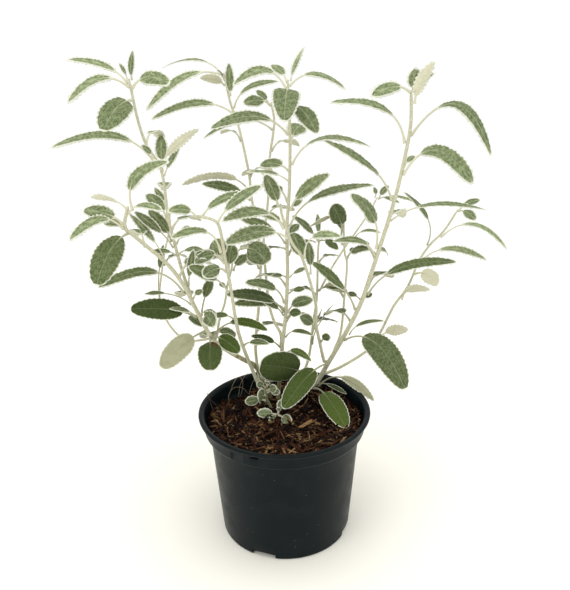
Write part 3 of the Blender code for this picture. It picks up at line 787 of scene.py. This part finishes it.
def pot_profile(pot):
    """From the foot up the outside, over the bead and down the inside to the floor."""
    rim, top, collar = pot.rim_radius / MM, pot.height / MM, pot.collar_radius / MM
    shoulder_at = top - pot.collar_height / MM
    shoulder, foot, wall = pot.shoulder_radius / MM, pot.foot_radius / MM, pot.wall / MM
    bead = pot.bead / MM
    outside = [
        (foot - 1.5, 0), (foot - 0.5, 0.3), (foot - 0.1, 0.9), (foot, 1.8),
        (foot + 0.9, 12), (foot + 3.4, 42), (foot + 5.5, 68),
        (shoulder - 0.15, shoulder_at - 3.2), (shoulder + 0.1, shoulder_at - 2.4),
        (shoulder + 0.8, shoulder_at - 1.8), (collar - 1.4, shoulder_at - 1.1),
        (collar - 0.5, shoulder_at - 0.5), (collar - 0.1, shoulder_at + 0.4),
        (collar, shoulder_at + 1.6), (collar + 0.5, top - bead - 1.4)]
    over = [
        (collar + 0.8, top - bead - 0.6), (rim - 1.5, top - bead - 0.4), (rim - 0.5, top - bead),
        (rim - 0.1, top - bead * 0.72), (rim, top - bead * 0.45), (rim - 0.2, top - 0.5),
        (rim - 0.7, top - 0.15), (rim - 1.5, top), (rim - 2.6, top - 0.1),
        (collar + 0.3, top - 0.6), (collar - 0.5, top - 1.5), (collar - 0.8, top - 3)]
    inside = [
        (collar - wall - 0.1, shoulder_at + 2), (collar - wall - 0.8, shoulder_at + 0.6),
        (shoulder - wall + 0.6, shoulder_at - 1.6), (shoulder - wall, shoulder_at - 3),
        (foot + 3.4 - wall, 42), (foot - wall + 0.2, 5), (foot - wall - 0.4, POT_FLOOR + 0.9),
        (foot - wall - 1.6, POT_FLOOR)]
    return outside + over + inside


class SHRUB_OT_pot(bpy.types.Operator):
    """Turns the nursery pot, cuts its slot and drain notches, and adds its moulding marks"""
    bl_idname = "shrub.pot"
    bl_label = "Nursery pot"

    def execute(self, context):
        pot = context.scene.shrub_pot
        piece = turned("nursery_pot", pot_profile(pot), pot.segments)
        for notch in NOTCHES:
            cut_box(piece, *notch, pot.foot_radius / MM - 0.5)
        cut_box(piece, *COLLAR_SLOT, pot.collar_radius / MM)
        cut_box(piece, *COLLAR_STEP, pot.collar_radius / MM + 0.05)
        bevel = piece.modifiers.new("Soft edges", "BEVEL")
        bevel.width = 0.25 * MM
        bevel.segments = 2
        bevel.limit_method = "ANGLE"
        bevel.angle_limit = math.radians(50)
        apply_modifiers(piece)
        smooth(piece, 35)
        piece.data.materials.append(pot_plastic())
        hand_over(piece, "pot_plastic", "pot")
        return {"FINISHED"}


# ================================================================ compost

EDGE_RADIUS = 59.2                    # of the compost, inside the collar
BARK_RADIUS = 58                      # the middles of the chips lie inside this
SKIRT_RADIUS = 54.9                   # inside the wall, under the shoulder
SKIRT_HEIGHT = 83
PLUG_RADIUS = 48.2                    # on the pot's floor
PLUG_HEIGHT = 4
FRONT_RISE, SIDE_RISE = 3.4, 1.6
HOLLOW_DEPTH, HOLLOW_SPREAD = 6.0, 15
LUMP_SIZE, LUMP_HEIGHT = 9, 1.3


def ground(x, y):
    """Height of the compost at a place: higher at the front, sunk at the back left."""
    level = bpy.context.scene.shrub_compost.level / MM
    front = min(max(-y / 50, 0), 1)
    side = min(abs(x) / 50, 1)
    hollow = math.exp(-((x + 34) ** 2 + (y - 34) ** 2) / (2 * HOLLOW_SPREAD ** 2))
    lumps = noise.fractal(Vector((x, y, 3)) / LUMP_SIZE, 0.8, 2.1, 4)
    rise = FRONT_RISE * front ** 2 + SIDE_RISE * side ** 3
    return level - 0.8 + rise - HOLLOW_DEPTH * hollow + LUMP_HEIGHT * lumps


def inner_wall(height):
    """Inside radius of the pot at a height near the collar."""
    share = min(max((height - 84.5) / 3.5, 0), 1)
    return SKIRT_RADIUS + 0.5 + (EDGE_RADIUS - SKIRT_RADIUS - 0.4) * share


class SHRUB_OT_compost(bpy.types.Operator):
    """Lays the bed of compost: a lumpy surface on a plug that fills the pot"""
    bl_idname = "shrub.compost"
    bl_label = "Compost bed"

    def execute(self, context):
        clear_selection()
        bpy.ops.mesh.primitive_grid_add(x_subdivisions=96, y_subdivisions=96, size=2)
        piece = bpy.context.object
        piece.name = "compost_bed"
        places = coordinates(piece.data)
        x, y = places[:, 0].copy(), places[:, 1].copy()
        places[:, 0] = x * np.sqrt(1 - y * y / 2)
        places[:, 1] = y * np.sqrt(1 - x * x / 2)
        for place in places:
            height = ground(place[0] * EDGE_RADIUS, place[1] * EDGE_RADIUS)
            radius = inner_wall(height) - 0.3
            place[:] = (place[0] * radius * MM, place[1] * radius * MM, height * MM)
        set_coordinates(piece.data, places)
        self.close_below(piece)
        face_outwards(piece)
        smooth(piece, 60)
        piece.data.materials.append(compost_soil())
        hand_over(piece, "bark_compost", "compost")
        return {"FINISHED"}

    def close_below(self, piece):
        """Draws the surface's edge down to the floor of the pot, and fills it."""
        pick(piece)
        for radius, height in ((SKIRT_RADIUS - 0.3, SKIRT_HEIGHT), (PLUG_RADIUS, PLUG_HEIGHT)):
            work_in("EDIT")
            bpy.ops.mesh.select_all(action="DESELECT")
            bpy.ops.mesh.select_mode(type="EDGE")
            bpy.ops.mesh.select_non_manifold(extend=False)
            bpy.ops.mesh.extrude_region_move(TRANSFORM_OT_translate={"value": (0, 0, -MM)})
            work_in("OBJECT")
            for vertex in piece.data.vertices:
                if vertex.select:
                    flat = Vector((vertex.co.x, vertex.co.y)).normalized() * radius
                    vertex.co = Vector((flat.x, flat.y, height)) * MM
        work_in("EDIT")
        bpy.ops.mesh.edge_face_add()
        work_in("OBJECT")


def chip_masters(count, draw):
    """A few ragged slivers one unit long, made from a block."""
    masters = []
    for number in range(count):
        clear_selection()
        bpy.ops.mesh.primitive_cube_add(size=1, scale=(1, 1, 1))
        master = bpy.context.object
        work_in("EDIT")
        bpy.ops.mesh.select_all(action="SELECT")
        bpy.ops.mesh.subdivide(number_cuts=1)
        bpy.ops.transform.vertex_random(offset=0.24, uniform=0.3, normal=0.0, seed=number)
        work_in("OBJECT")
        places = coordinates(master.data)
        taper = 1 - 0.6 * draw.random() * np.clip(places[:, 0] + 0.5, 0, 1)
        curl = 0.5 * (draw.random() - 0.5) * places[:, 0] ** 2
        places[:, 1] *= taper
        places[:, 2] += curl * 4
        set_coordinates(master.data, places)
        masters.append(master)
    return masters


# How bark is scattered: its middling length in millimetres, how much longer some pieces are, the
# least tone, how seldom the palest come, how high they lie, and the greatest width for a length.
Bark = namedtuple("Bark", "length spread least rarity lift widest", defaults=(0.0, 1.8, 0.0, 0.15))


def scatter(name, masters, count, bark, draw):
    """One piece made of many copies of the masters, laid flat-ish on the ground."""
    places, faces, tones, first = [], [], [], 0
    for number in range(count):
        master = masters[number % len(masters)].data
        long = bark.length * draw.uniform(0.55, 1.0 + bark.spread * draw.random())
        wide = max(0.55, long * draw.uniform(0.05, bark.widest))
        size = Vector((long, wide, draw.uniform(0.4, 0.9)))
        heading = draw.uniform(0, math.tau)
        x, y = chip_place(draw, long, heading)
        height = ground(x, y) + draw.uniform(-0.3, 1.3) + 0.06 * long + bark.lift
        pitched = Matrix.Rotation(draw.gauss(0, 0.28), 4, "Y")
        tilt = pitched @ Matrix.Rotation(draw.gauss(0, 0.5), 4, "X")
        move = (Matrix.Translation(Vector((x, y, height)) * MM)
                @ Matrix.Rotation(heading, 4, "Z") @ tilt @ Matrix.Diagonal((*(size * MM), 1)))
        own = coordinates(master) @ np.array(move.to_3x3()).T + np.array(move.translation)
        places.append(own)
        faces += [[first + corner for corner in face.vertices] for face in master.polygons]
        tones += [bark.least + (1 - bark.least) * draw.random() ** bark.rarity] * len(own)
        first += len(own)
    mesh = bpy.data.meshes.new(name)
    mesh.from_pydata(np.concatenate(places).tolist(), [], faces)
    set_attribute(mesh, "tone", tones)
    mesh.materials.append(bark_chip())
    piece = bpy.data.objects.new(name, mesh)
    bpy.context.scene.collection.objects.link(piece)
    smooth(piece, 40)
    hand_over(piece, "bark_compost")


def chip_place(draw, long, heading):
    """A place on the compost where a chip of this length and heading stays inside the wall."""
    half = Vector((math.cos(heading), math.sin(heading))) * long / 2
    while True:
        radius, angle = BARK_RADIUS * math.sqrt(draw.random()), draw.uniform(0, math.tau)
        middle = Vector((radius * math.cos(angle), radius * math.sin(angle)))
        wall = inner_wall(ground(middle.x, middle.y) + 1.0) - 0.8
        if (middle + half).length < wall and (middle - half).length < wall:
            return middle.x, middle.y


class SHRUB_OT_bark(bpy.types.Operator):
    """Scatters the bark: long chips over small crumbs"""
    bl_idname = "shrub.bark"
    bl_label = "Bark chips and crumbs"

    def execute(self, context):
        compost = context.scene.shrub_compost
        draw = random.Random(7)
        masters = chip_masters(9, draw)
        crumb, chip = compost.crumb_length / MM, compost.chip_length / MM
        for name, count, bark in (
                ("bark_crumbs", compost.crumbs, Bark(crumb, 0.6)),
                ("bark_chips", compost.chips, Bark(chip, 1.2)),
                ("pale_slivers", compost.slivers, Bark(chip * 0.85, 0.5, 0.8, 1.0, 1.0, 0.2))):
            scatter(name, masters, count, bark, draw)
        for master in masters:
            discard(master)
        return {"FINISHED"}


# Roots and fibres: (radius, tone from dark to straw, route)
FIBRES = [
    (0.35, 0.7, [
        (-46, 38, 84), (-43, 42, 95), (-38, 45, 103), (-34, 46, 99), (-35, 44, 90), (-38, 40, 83)]),
    (0.25, 0.8, [(-38, 42, 84), (-36, 46, 96), (-31, 48, 104), (-28, 49, 105)]),
    (0.3, 0.5, [(-30, 44, 83), (-27, 47, 94), (-24, 50, 98), (-20, 51, 95), (-17, 49, 87)]),
    (0.25, 0.9, [(-44, 30, 84), (-45, 34, 92), (-41, 38, 97), (-34, 40, 96), (-29, 38, 91)]),
    (0.5, 0.1, [(-55, 14, 88), (-58, 16, 97), (-60, 18, 104)]),
    (0.6, 0.05, [(-50, 19, 87), (-55, 17, 95), (-57, 13, 101)]),
    (0.3, 0.6, [(48, 33, 87), (50, 38, 98), (47, 43, 103), (44, 46, 104)]),
    (0.35, 0.75, [(-30, -22, 90), (-22, -25, 91), (-12, -24, 90.5), (-4, -26, 90)]),
    (0.3, 0.55, [(10, -8, 89), (20, -5, 90.5), (30, -9, 90), (38, -16, 90)]),
    (0.35, 0.85, [(-52, -22, 89.5), (-44, -27, 90.5), (-36, -36, 91), (-32, -46, 92)]),
    (0.3, 0.4, [(-20, 8, 88), (-28, 12, 89), (-36, 10, 88), (-43, 4, 88.5)]),
    (0.3, 0.7, [(22, -40, 90.5), (12, -44, 91.5), (2, -46, 91.5), (-8, -50, 92)]),
]


class SHRUB_OT_fibres(bpy.types.Operator):
    """Lays the roots and straw that stand and lie on the bark"""
    bl_idname = "shrub.fibres"
    bl_label = "Roots and fibres"

    def execute(self, context):
        strands = []
        for radius, tone, route in FIBRES:
            points = smooth_route([Vector(point) for point in route], 6)
            radii = [radius * (1 - 0.6 * i / len(points)) for i in range(len(points))]
            strand = tube("root_fibres", points, radii, 1)
            set_attribute(strand.data, "tone", tone)
            strands.append(strand)
        pick(*strands)
        bpy.ops.object.join()
        piece = bpy.context.object
        piece.name = "root_fibres"
        piece.data.materials.append(root_fibre())
        hand_over(piece, "bark_compost")
        return {"FINISHED"}


# ================================================================ stems

def smooth_route(points, steps):
    """Points on a smooth curve (Catmull-Rom) through the route's own points."""
    ends = [points[0] * 2 - points[1]] + points + [points[-1] * 2 - points[-2]]
    smoothed = []
    for i in range(1, len(ends) - 2):
        before, here, there, after = ends[i - 1:i + 3]
        for step in range(steps):
            t = step / steps
            smoothed.append(0.5 * (
                2 * here + (there - before) * t
                + (2 * before - 5 * here + 4 * there - after) * t ** 2
                + (3 * here - before - 3 * there + after) * t ** 3))
    return smoothed + [points[-1]]


GAP = 0.3                             # between a stem's side and what grows from it
STALK_RADIUS = 0.7                    # of a stalk, where it leaves the stem
ROOTED = 9                            # how far a stem's foot goes on below its route
SLIMNESS = 0.84                       # of a stem, beside the frame's
SOIL = 86                             # where the old wood is oldest


def lengths_along(points):
    """How far along the line each of its points is."""
    lengths = [0.0]
    for a, b in zip(points, points[1:]):
        lengths.append(lengths[-1] + (b - a).length)
    return lengths


def radius_along(stem, share):
    """The stem's radius at a share of its length, before any unevenness."""
    return stem.base_radius + (stem.tip_radius - stem.base_radius) * share


class StemPath:
    """Where a stem runs and how thick it is, in millimetres."""

    def __init__(self, stem, points, inside):
        self.route = points
        self.inside = inside
        self.points = smooth_route(points, 2)
        lengths = lengths_along(self.points)
        self.radii = [radius_along(stem, place / lengths[-1]) for place in lengths]

    def at_height(self, height):
        """The place, direction and radius of the stem where it last passes this height."""
        spans = list(zip(self.points, self.points[1:], self.radii))
        for a, b, radius in reversed(spans):
            if a.z <= height <= b.z:
                share = (height - a.z) / (b.z - a.z)
                return a.lerp(b, share), (b - a).normalized(), radius
        a, b, radius = spans[-1]
        return b, (b - a).normalized(), radius

    def side_start(self, height, towards, own_radius):
        """Where something of this radius leaves the stem's side, heading the given way."""
        place, along, radius = self.at_height(height)
        out = towards - along * towards.dot(along)
        return place + out.normalized() * (radius + own_radius + GAP)


def stem_paths():
    """Every stem's path. inside is a point below the compost or in the parent stem."""
    paths = {}
    for name, stem in {**STEMS, **SPROUTS}.items():
        route = [Vector(point) for point in stem.route]
        inside = route[0] - (route[1] - route[0]).normalized() * ROOTED
        if stem.grows_from:
            parent = paths[stem.grows_from]
            inside = parent.at_height(stem.at_height)[0]
            route.insert(0, parent.side_start(stem.at_height, route[0] - inside, stem.base_radius))
        paths[name] = StemPath(stem, route, inside)
    return paths


# Height up to which the old wood of a stem shows through its felt.
OLD_WOOD = {"centre": 165, "left_front": 170, "front_left": 118, "low_sprout": 190}


def grow_stem(stem_name, stem, path):
    """A felted stem: thicker where it joins, gently uneven, and old wood at its foot."""
    name, old = stem_name + "_stem", OLD_WOOD.get(stem_name, 100)
    points = [path.inside] + smooth_route(path.route, 5)
    lengths = lengths_along(points)
    radii = []
    for place in lengths:
        flare = 1 + 0.12 * math.exp(-place / 4)
        knot = 1 + 0.07 * noise.noise(Vector((place / 7, len(name), 0)))
        radii.append(SLIMNESS * radius_along(stem, place / lengths[-1]) * flare * knot)
    radii[-1] *= 0.6
    piece = tube(name, points, radii, 3)
    heights = coordinates(piece.data)[:, 2] / MM
    set_attribute(piece.data, "age", np.clip((old - heights) / (old - SOIL), 0, 1))
    piece.data.materials.append(stem_felt())
    return piece


class SHRUB_OT_stems(bpy.types.Operator):
    """Grows the fourteen felted stems and branches"""
    bl_idname = "shrub.stems"
    bl_label = "Stems"

    def execute(self, context):
        paths = stem_paths()
        for name, stem in STEMS.items():
            hand_over(grow_stem(name, stem, paths[name]), "stem_felt", "stem_" + name)
        return {"FINISHED"}


# ================================================================ leaves

BROWNED_LEAF = "left_front_leaf_8"
BOW_PLACE = 0.35                      # how far along a leaf its arch is highest
BLADE_END = 0.82                      # how far along the blade its midrib stands out below
LONG_BLADE, BROAD_BLADE = 24, 6.5     # from these sizes a leaf takes the finer master


def leaf_masters():
    """A broad and a narrow flat leaf, two units long and wide, with their stalks."""
    return [flat_leaf("broad_leaf", 110, 12, 34), flat_leaf("narrow_leaf", 44, 8, 20)]


def flat_leaf(name, stations, columns, stalk_stations):
    """A two-faced blade and a round stalk in one mesh; the attribute stalk tells them apart."""
    clear_selection()
    bpy.ops.mesh.primitive_grid_add(x_subdivisions=stations, y_subdivisions=columns, size=2)
    blade = bpy.context.object
    blade.name = name
    blade.data.materials.append(leaf_upper())
    blade.data.materials.append(leaf_underside())
    thick = blade.modifiers.new("Felt", "SOLIDIFY")
    thick.thickness = 2
    thick.offset = 0
    thick.material_offset = 1
    thick.material_offset_rim = 1
    apply_modifiers(blade)
    set_attribute(blade.data, "stalk", 0)
    clear_selection()
    bpy.ops.mesh.primitive_circle_add(
        vertices=8, radius=1, fill_type="NGON", location=(-1, 0, 0), rotation=(0, math.pi / 2, 0))
    stalk = bpy.context.object
    work_in("EDIT")
    for _ in range(stalk_stations):
        bpy.ops.mesh.extrude_region_move(
            TRANSFORM_OT_translate={"value": (2 / stalk_stations, 0, 0)})
    work_in("OBJECT")
    settle(stalk)
    face_outwards(stalk)
    stalk.data.materials.append(leaf_underside())
    set_attribute(stalk.data, "stalk", 1)
    pick(blade, stalk)
    bpy.ops.object.join()
    blade.data.shade_smooth()
    return blade


class Midrib:
    """The line that a leaf follows, and which way its upper face looks, in millimetres."""

    def __init__(self, start, leaf, twist):
        reach = Vector(leaf.reach)
        along = reach.normalized()
        up = Vector((0, 0, 1))
        bow = (up - along * up.dot(along)).normalized()
        self.start = np.array(start)
        self.middle = np.array(start + reach * BOW_PLACE + bow * 2 * leaf.arch)
        self.tip = np.array(start + reach)
        tilt = math.radians(leaf.tilt)
        self.face = np.array((0, -math.sin(tilt), math.cos(tilt)))
        self.twist = twist
        self.length = float(
            np.linalg.norm(self.middle - self.start) + np.linalg.norm(self.tip - self.middle)
            + np.linalg.norm(self.tip - self.start)) / 2

    def at(self, t):
        """Place, normal and across at each share t of the way along."""
        t = np.asarray(t)[:, None]
        place = self.start * (1 - t) ** 2 + self.middle * 2 * t * (1 - t) + self.tip * t ** 2
        along = (self.middle - self.start) * (1 - t) + (self.tip - self.middle) * t
        along /= np.linalg.norm(along, axis=1, keepdims=True)
        normal = self.face - along * (along @ self.face)[:, None]
        normal /= np.linalg.norm(normal, axis=1, keepdims=True)
        across = np.cross(along, normal)
        turn = self.twist * t
        cos, sin = np.cos(turn), np.sin(turn)
        return place, normal * cos + across * sin, across * cos - normal * sin


def blade_share(s, width, widest):
    """The blade's width at s, as a share of its greatest: the broader it is, the more oblong."""
    square = min(2.12, 1.55 + 0.032 * width)
    moved = s ** (math.log(0.5) / math.log(widest))
    return np.clip(1 - np.abs(2 * moved - 1) ** square, 0, 1) ** (1 / square)


def lay_blade(flat, rib, leaf, look, draw, foliage):
    """Where the blade's points go, and each point's (along, across, edge) in millimetres."""
    x, v, side = flat.T
    even = (x + 1) / 2
    s = 0.62 * even + 0.38 * (0.5 - 0.5 * np.cos(np.pi * even))
    t = leaf.petiole + (1 - leaf.petiole) * s
    place, normal, across = rib.at(t)
    blade = rib.length * (1 - leaf.petiole)
    half = np.maximum(blade_share(s, leaf.width, look.widest) * leaf.width / 2, 0.3)
    size = min(1.0, leaf.width / 11)
    pitch = foliage.tooth_pitch / MM * (0.55 + 0.45 * size)
    depth = foliage.tooth_depth / MM * (0.3 + 0.7 * look.felt) * min(1.0, blade / 30)
    offset = draw.random() * pitch
    handed = np.where(v > 0, 0.37 * pitch, 0)
    tooth = np.abs(np.sin(np.pi * (s * blade + offset + handed) / pitch)) - 0.6
    outer = np.abs(v) ** 5
    reach = half + depth * tooth * outer * np.minimum(1, half / 2)
    ripple = 7.5 * (0.6 + 0.4 * size)
    wave = np.sin(math.tau * s * blade / ripple + draw.uniform(0, 6) + (v > 0) * 2)
    slow = np.sin(math.tau * s * 1.3 + draw.uniform(0, 6) + (v > 0) * 2.4)
    fold = draw.uniform(0.05, 0.20)
    curl = draw.uniform(0.10, 0.26)
    lift = half * (fold * np.abs(v) - curl * v * v)
    lift += np.abs(v) ** 3 * (0.28 * wave + 0.45 * slow) * size
    lift += 0.22 * np.abs(v) ** 3 * tooth * size
    dent = 0.25 * np.exp(-(v * half / 0.7) ** 2) * size
    thick = foliage.blade_thickness / MM / 2 * (1 - 0.45 * np.abs(v) ** 4) * (0.7 + 0.3 * size)
    rise = lift - dent + side * thick
    laid = place + across * (v * reach)[:, None] + normal * rise[:, None]
    ends = np.minimum(s, 1 - s) * blade
    edge = np.minimum((1 - np.abs(v)) * half, np.maximum(ends, 0.0) + 0.02)
    return laid, s * blade, v * half, edge


def lay_stalk(flat, rib, leaf, stem_radius, foliage):
    """Where the stalk's points go: out of the stem, then fading away under the blade."""
    x, y, z = flat.T
    size = min(1.0, 0.35 + leaf.width / 16)
    root = -(stem_radius * 0.7 + STALK_RADIUS + GAP) / rib.length
    end = leaf.petiole + (1 - leaf.petiole) * BLADE_END
    t = root + (end - root) * (x + 1) / 2
    place, normal, across = rib.at(t)
    on_blade = np.clip((t - leaf.petiole) / (end - leaf.petiole), 0, 1)
    flare = 1 + 0.5 * np.exp(-np.maximum(t, 0) * rib.length / 2.5)
    bare = foliage.stalk_radius / MM * size * flare
    radius = bare * (1 - 0.72 * on_blade ** 0.7)
    below = np.where(on_blade > 0, 0.25 + 0.35 * radius, 0.0) * np.minimum(1, on_blade * 8)
    return place + across * (y * radius)[:, None] + normal * (z * radius - below)[:, None]


def leaf_look(name, leaf, start, draw):
    """The look the leaf is given by name, or else what its height and its depth suggest."""
    height = 0.8 if "sprout" in name else min(max((leaf.height - 120) / 150, 0), 1)
    # Leaves further back get less felt and so a darker green: partly less felt, partly painted
    # shade for the shade deep inside the plant.
    shaded = min(max(start.y / 50, 0), 1)
    felt = max(0.0, 0.16 + 0.55 * height - 0.22 * shaded + draw.uniform(-0.16, 0.16))
    return LOOKS.get(name, Look(felt, draw.uniform(0.15, 0.55), draw.uniform(0.46, 0.56)))


def grow_leaf(name, masters, path, leaf, foliage):
    """A copy of the flat leaf, laid along its own midrib."""
    draw = random.Random(name)
    start = path.side_start(leaf.height, Vector(leaf.reach), STALK_RADIUS)
    rib = Midrib(start, leaf, math.radians(draw.uniform(-9, 9)))
    large = rib.length * (1 - leaf.petiole) > LONG_BLADE and leaf.width > BROAD_BLADE
    master = masters[0] if large else masters[1]
    piece = master.copy()
    piece.data = master.data.copy()
    piece.name = piece.data.name = name
    bpy.context.scene.collection.objects.link(piece)
    mesh = piece.data
    flat = coordinates(mesh).astype(float)
    on_stalk = np.zeros(len(flat), np.float32)
    mesh.attributes["stalk"].data.foreach_get("value", on_stalk)
    on_stalk = on_stalk > 0.5
    laid = np.empty_like(flat)
    measures = np.zeros((len(flat), 3))
    blade = ~on_stalk
    look = leaf_look(name, leaf, start, draw)
    laid[blade], measures[blade, 0], measures[blade, 1], measures[blade, 2] = lay_blade(
        flat[blade], rib, leaf, look, draw, foliage)
    laid[on_stalk] = lay_stalk(flat[on_stalk], rib, leaf, path.at_height(leaf.height)[2], foliage)
    set_coordinates(mesh, laid * MM)
    set_attribute(mesh, "felt", look.felt)
    set_attribute(mesh, "yellow", look.yellow)
    fine = 0.4 + 0.6 * min(1.0, leaf.width / 10)
    set_attribute(mesh, "edge", measures[:, 2] / fine)
    from_scar = np.hypot(measures[:, 0] - 4, measures[:, 1] + 3)
    scar = np.clip(1.6 - from_scar / 2.2, 0, 1) if name == BROWNED_LEAF else 0
    set_attribute(mesh, "browning", scar)
    corners = np.empty(len(mesh.loops), np.int32)
    mesh.loops.foreach_get("vertex_index", corners)
    flat_map = np.stack([measures[:, 0] / 100, 0.5 + measures[:, 1] / 100], 1)[corners]
    mesh.uv_layers.new(name="blade").data.foreach_set("uv", flat_map.astype(np.float32).ravel())
    mesh.update()
    return piece


def grow_leaves(table, kind, foliage, stands_for=False):
    """Every leaf of a table. The flag stands_for says whether each has a node in the frame."""
    masters = leaf_masters()
    paths = stem_paths()
    for stem_name, row in table.items():
        for number, leaf in enumerate(row, start=1):
            name = f"{stem_name}_{kind}_{number}"
            piece = grow_leaf(name, masters, paths[stem_name], leaf, foliage)
            nodes = [f"leaf_{stem_name}_{number}"] if stands_for else []
            hand_over(piece, "leaf_felt", *nodes)
    for master in masters:
        discard(master)


class SHRUB_OT_leaves(bpy.types.Operator):
    """Grows the forty-three leaves that the frame has too"""
    bl_idname = "shrub.leaves"
    bl_label = "Large leaves"

    def execute(self, context):
        grow_leaves(LEAVES, "leaf", context.scene.shrub_foliage, stands_for=True)
        return {"FINISHED"}


class SHRUB_OT_small_leaves(bpy.types.Operator):
    """Grows the smaller leaves and the young ones at the tips"""
    bl_idname = "shrub.small_leaves"
    bl_label = "Small leaves"

    def execute(self, context):
        grow_leaves(SMALL_LEAVES, "small_leaf", context.scene.shrub_foliage)
        return {"FINISHED"}


class SHRUB_OT_back_leaves(bpy.types.Operator):
    """Grows the leaves on the far side of the plant"""
    bl_idname = "shrub.back_leaves"
    bl_label = "Back leaves"

    def execute(self, context):
        grow_leaves(BACK_LEAVES, "back_leaf", context.scene.shrub_foliage)
        return {"FINISHED"}


class SHRUB_OT_sprouts(bpy.types.Operator):
    """Grows the two short shoots that spring from the compost"""
    bl_idname = "shrub.sprouts"
    bl_label = "Basal sprouts"

    def execute(self, context):
        paths = stem_paths()
        for name, stem in SPROUTS.items():
            hand_over(grow_stem(name, stem, paths[name]), "stem_felt")
        grow_leaves(SPROUT_LEAVES, "leaf", context.scene.shrub_foliage)
        return {"FINISHED"}


# ================================================================ stage

def area_light(name, place, size, power, tint):
    light = bpy.data.lights.new(name, "AREA")
    light.shape = "DISK"
    light.size = size
    light.energy = power
    light.color = tint
    lamp = bpy.data.objects.new(name, light)
    lamp.location = place
    towards = Vector((0, 0, 150 * MM)) - lamp.location
    lamp.rotation_euler = towards.to_track_quat("-Z", "Y").to_euler()
    bpy.context.scene.collection.objects.link(lamp)


class SHRUB_OT_stage(bpy.types.Operator):
    """Sets the pale floor, the soft light and the camera"""
    bl_idname = "shrub.stage"
    bl_label = "Stage"

    def execute(self, context):
        stage = context.scene.shrub_stage
        clear_selection()
        bpy.ops.mesh.primitive_plane_add(size=24, location=(0, 0, -0.2 * MM))
        floor = context.object
        floor.name = "studio_floor"
        floor.data.materials.append(pale_floor())
        world = bpy.data.worlds.new("studio_sky")
        world.use_nodes = True
        sky = world.node_tree.nodes["Background"]
        sky.inputs["Color"].default_value = (1, 1, 1, 1)
        sky.inputs["Strength"].default_value = stage.sky
        context.scene.world = world
        area_light("overhead_light", (0.1, -0.1, 1.2), 1.2, stage.overhead, (1, 1, 1))
        area_light("left_light", (-0.9, -0.8, 0.9), 0.9, stage.side, (1, 0.99, 0.97))
        self.set_camera(context, stage)
        context.scene.view_settings.view_transform = "Standard"
        return {"FINISHED"}

    def set_camera(self, context, stage):
        lens = bpy.data.cameras.new("front_camera")
        lens.lens = stage.lens
        lens.sensor_width = 36
        lens.clip_start = 0.01
        camera = bpy.data.objects.new("front_camera", lens)
        tilt = Matrix.Rotation(math.pi / 2 - stage.pitch, 4, "X")
        look = tilt @ Matrix.Rotation(-stage.roll, 4, "Z")
        camera.matrix_world = Matrix.Translation(stage.place) @ look
        context.scene.collection.objects.link(camera)
        context.scene.camera = camera


# ================================================================ panel and registration

STEPS = [
    SHRUB_OT_stage, SHRUB_OT_pot, SHRUB_OT_compost, SHRUB_OT_bark, SHRUB_OT_fibres,
    SHRUB_OT_stems, SHRUB_OT_leaves, SHRUB_OT_small_leaves, SHRUB_OT_back_leaves,
    SHRUB_OT_sprouts,
]
SETTINGS = {
    "shrub_pot": PotSettings, "shrub_compost": CompostSettings,
    "shrub_foliage": FoliageSettings, "shrub_stage": StageSettings,
}


class SHRUB_PT_panel(bpy.types.Panel):
    """Lists the steps and the sizes of the shrub"""
    bl_label = "Potted shrub"
    bl_idname = "SHRUB_PT_panel"
    bl_space_type = "VIEW_3D"
    bl_region_type = "UI"
    bl_category = "Shrub"

    def draw(self, context):
        for step in STEPS:
            self.layout.operator(step.bl_idname)
        for name, settings in SETTINGS.items():
            box = self.layout.box()
            for prop in settings.__annotations__:
                box.prop(getattr(context.scene, name), prop)


def register():
    for made in (*SETTINGS.values(), *STEPS, SHRUB_PT_panel):
        bpy.utils.register_class(made)
    for name, settings in SETTINGS.items():
        setattr(bpy.types.Scene, name, PointerProperty(type=settings))


def unregister():
    for name in SETTINGS:
        delattr(bpy.types.Scene, name)
    for made in reversed((*SETTINGS.values(), *STEPS, SHRUB_PT_panel)):
        bpy.utils.unregister_class(made)


def main():
    register()
    bpy.ops.shrub.stage()
    bpy.ops.shrub.pot()
    bpy.ops.shrub.compost()
    bpy.ops.shrub.bark()
    bpy.ops.shrub.fibres()
    bpy.ops.shrub.stems()
    bpy.ops.shrub.leaves()
    bpy.ops.shrub.small_leaves()
    bpy.ops.shrub.back_leaves()
    bpy.ops.shrub.sprouts()


if __name__ == "__main__":
    main()
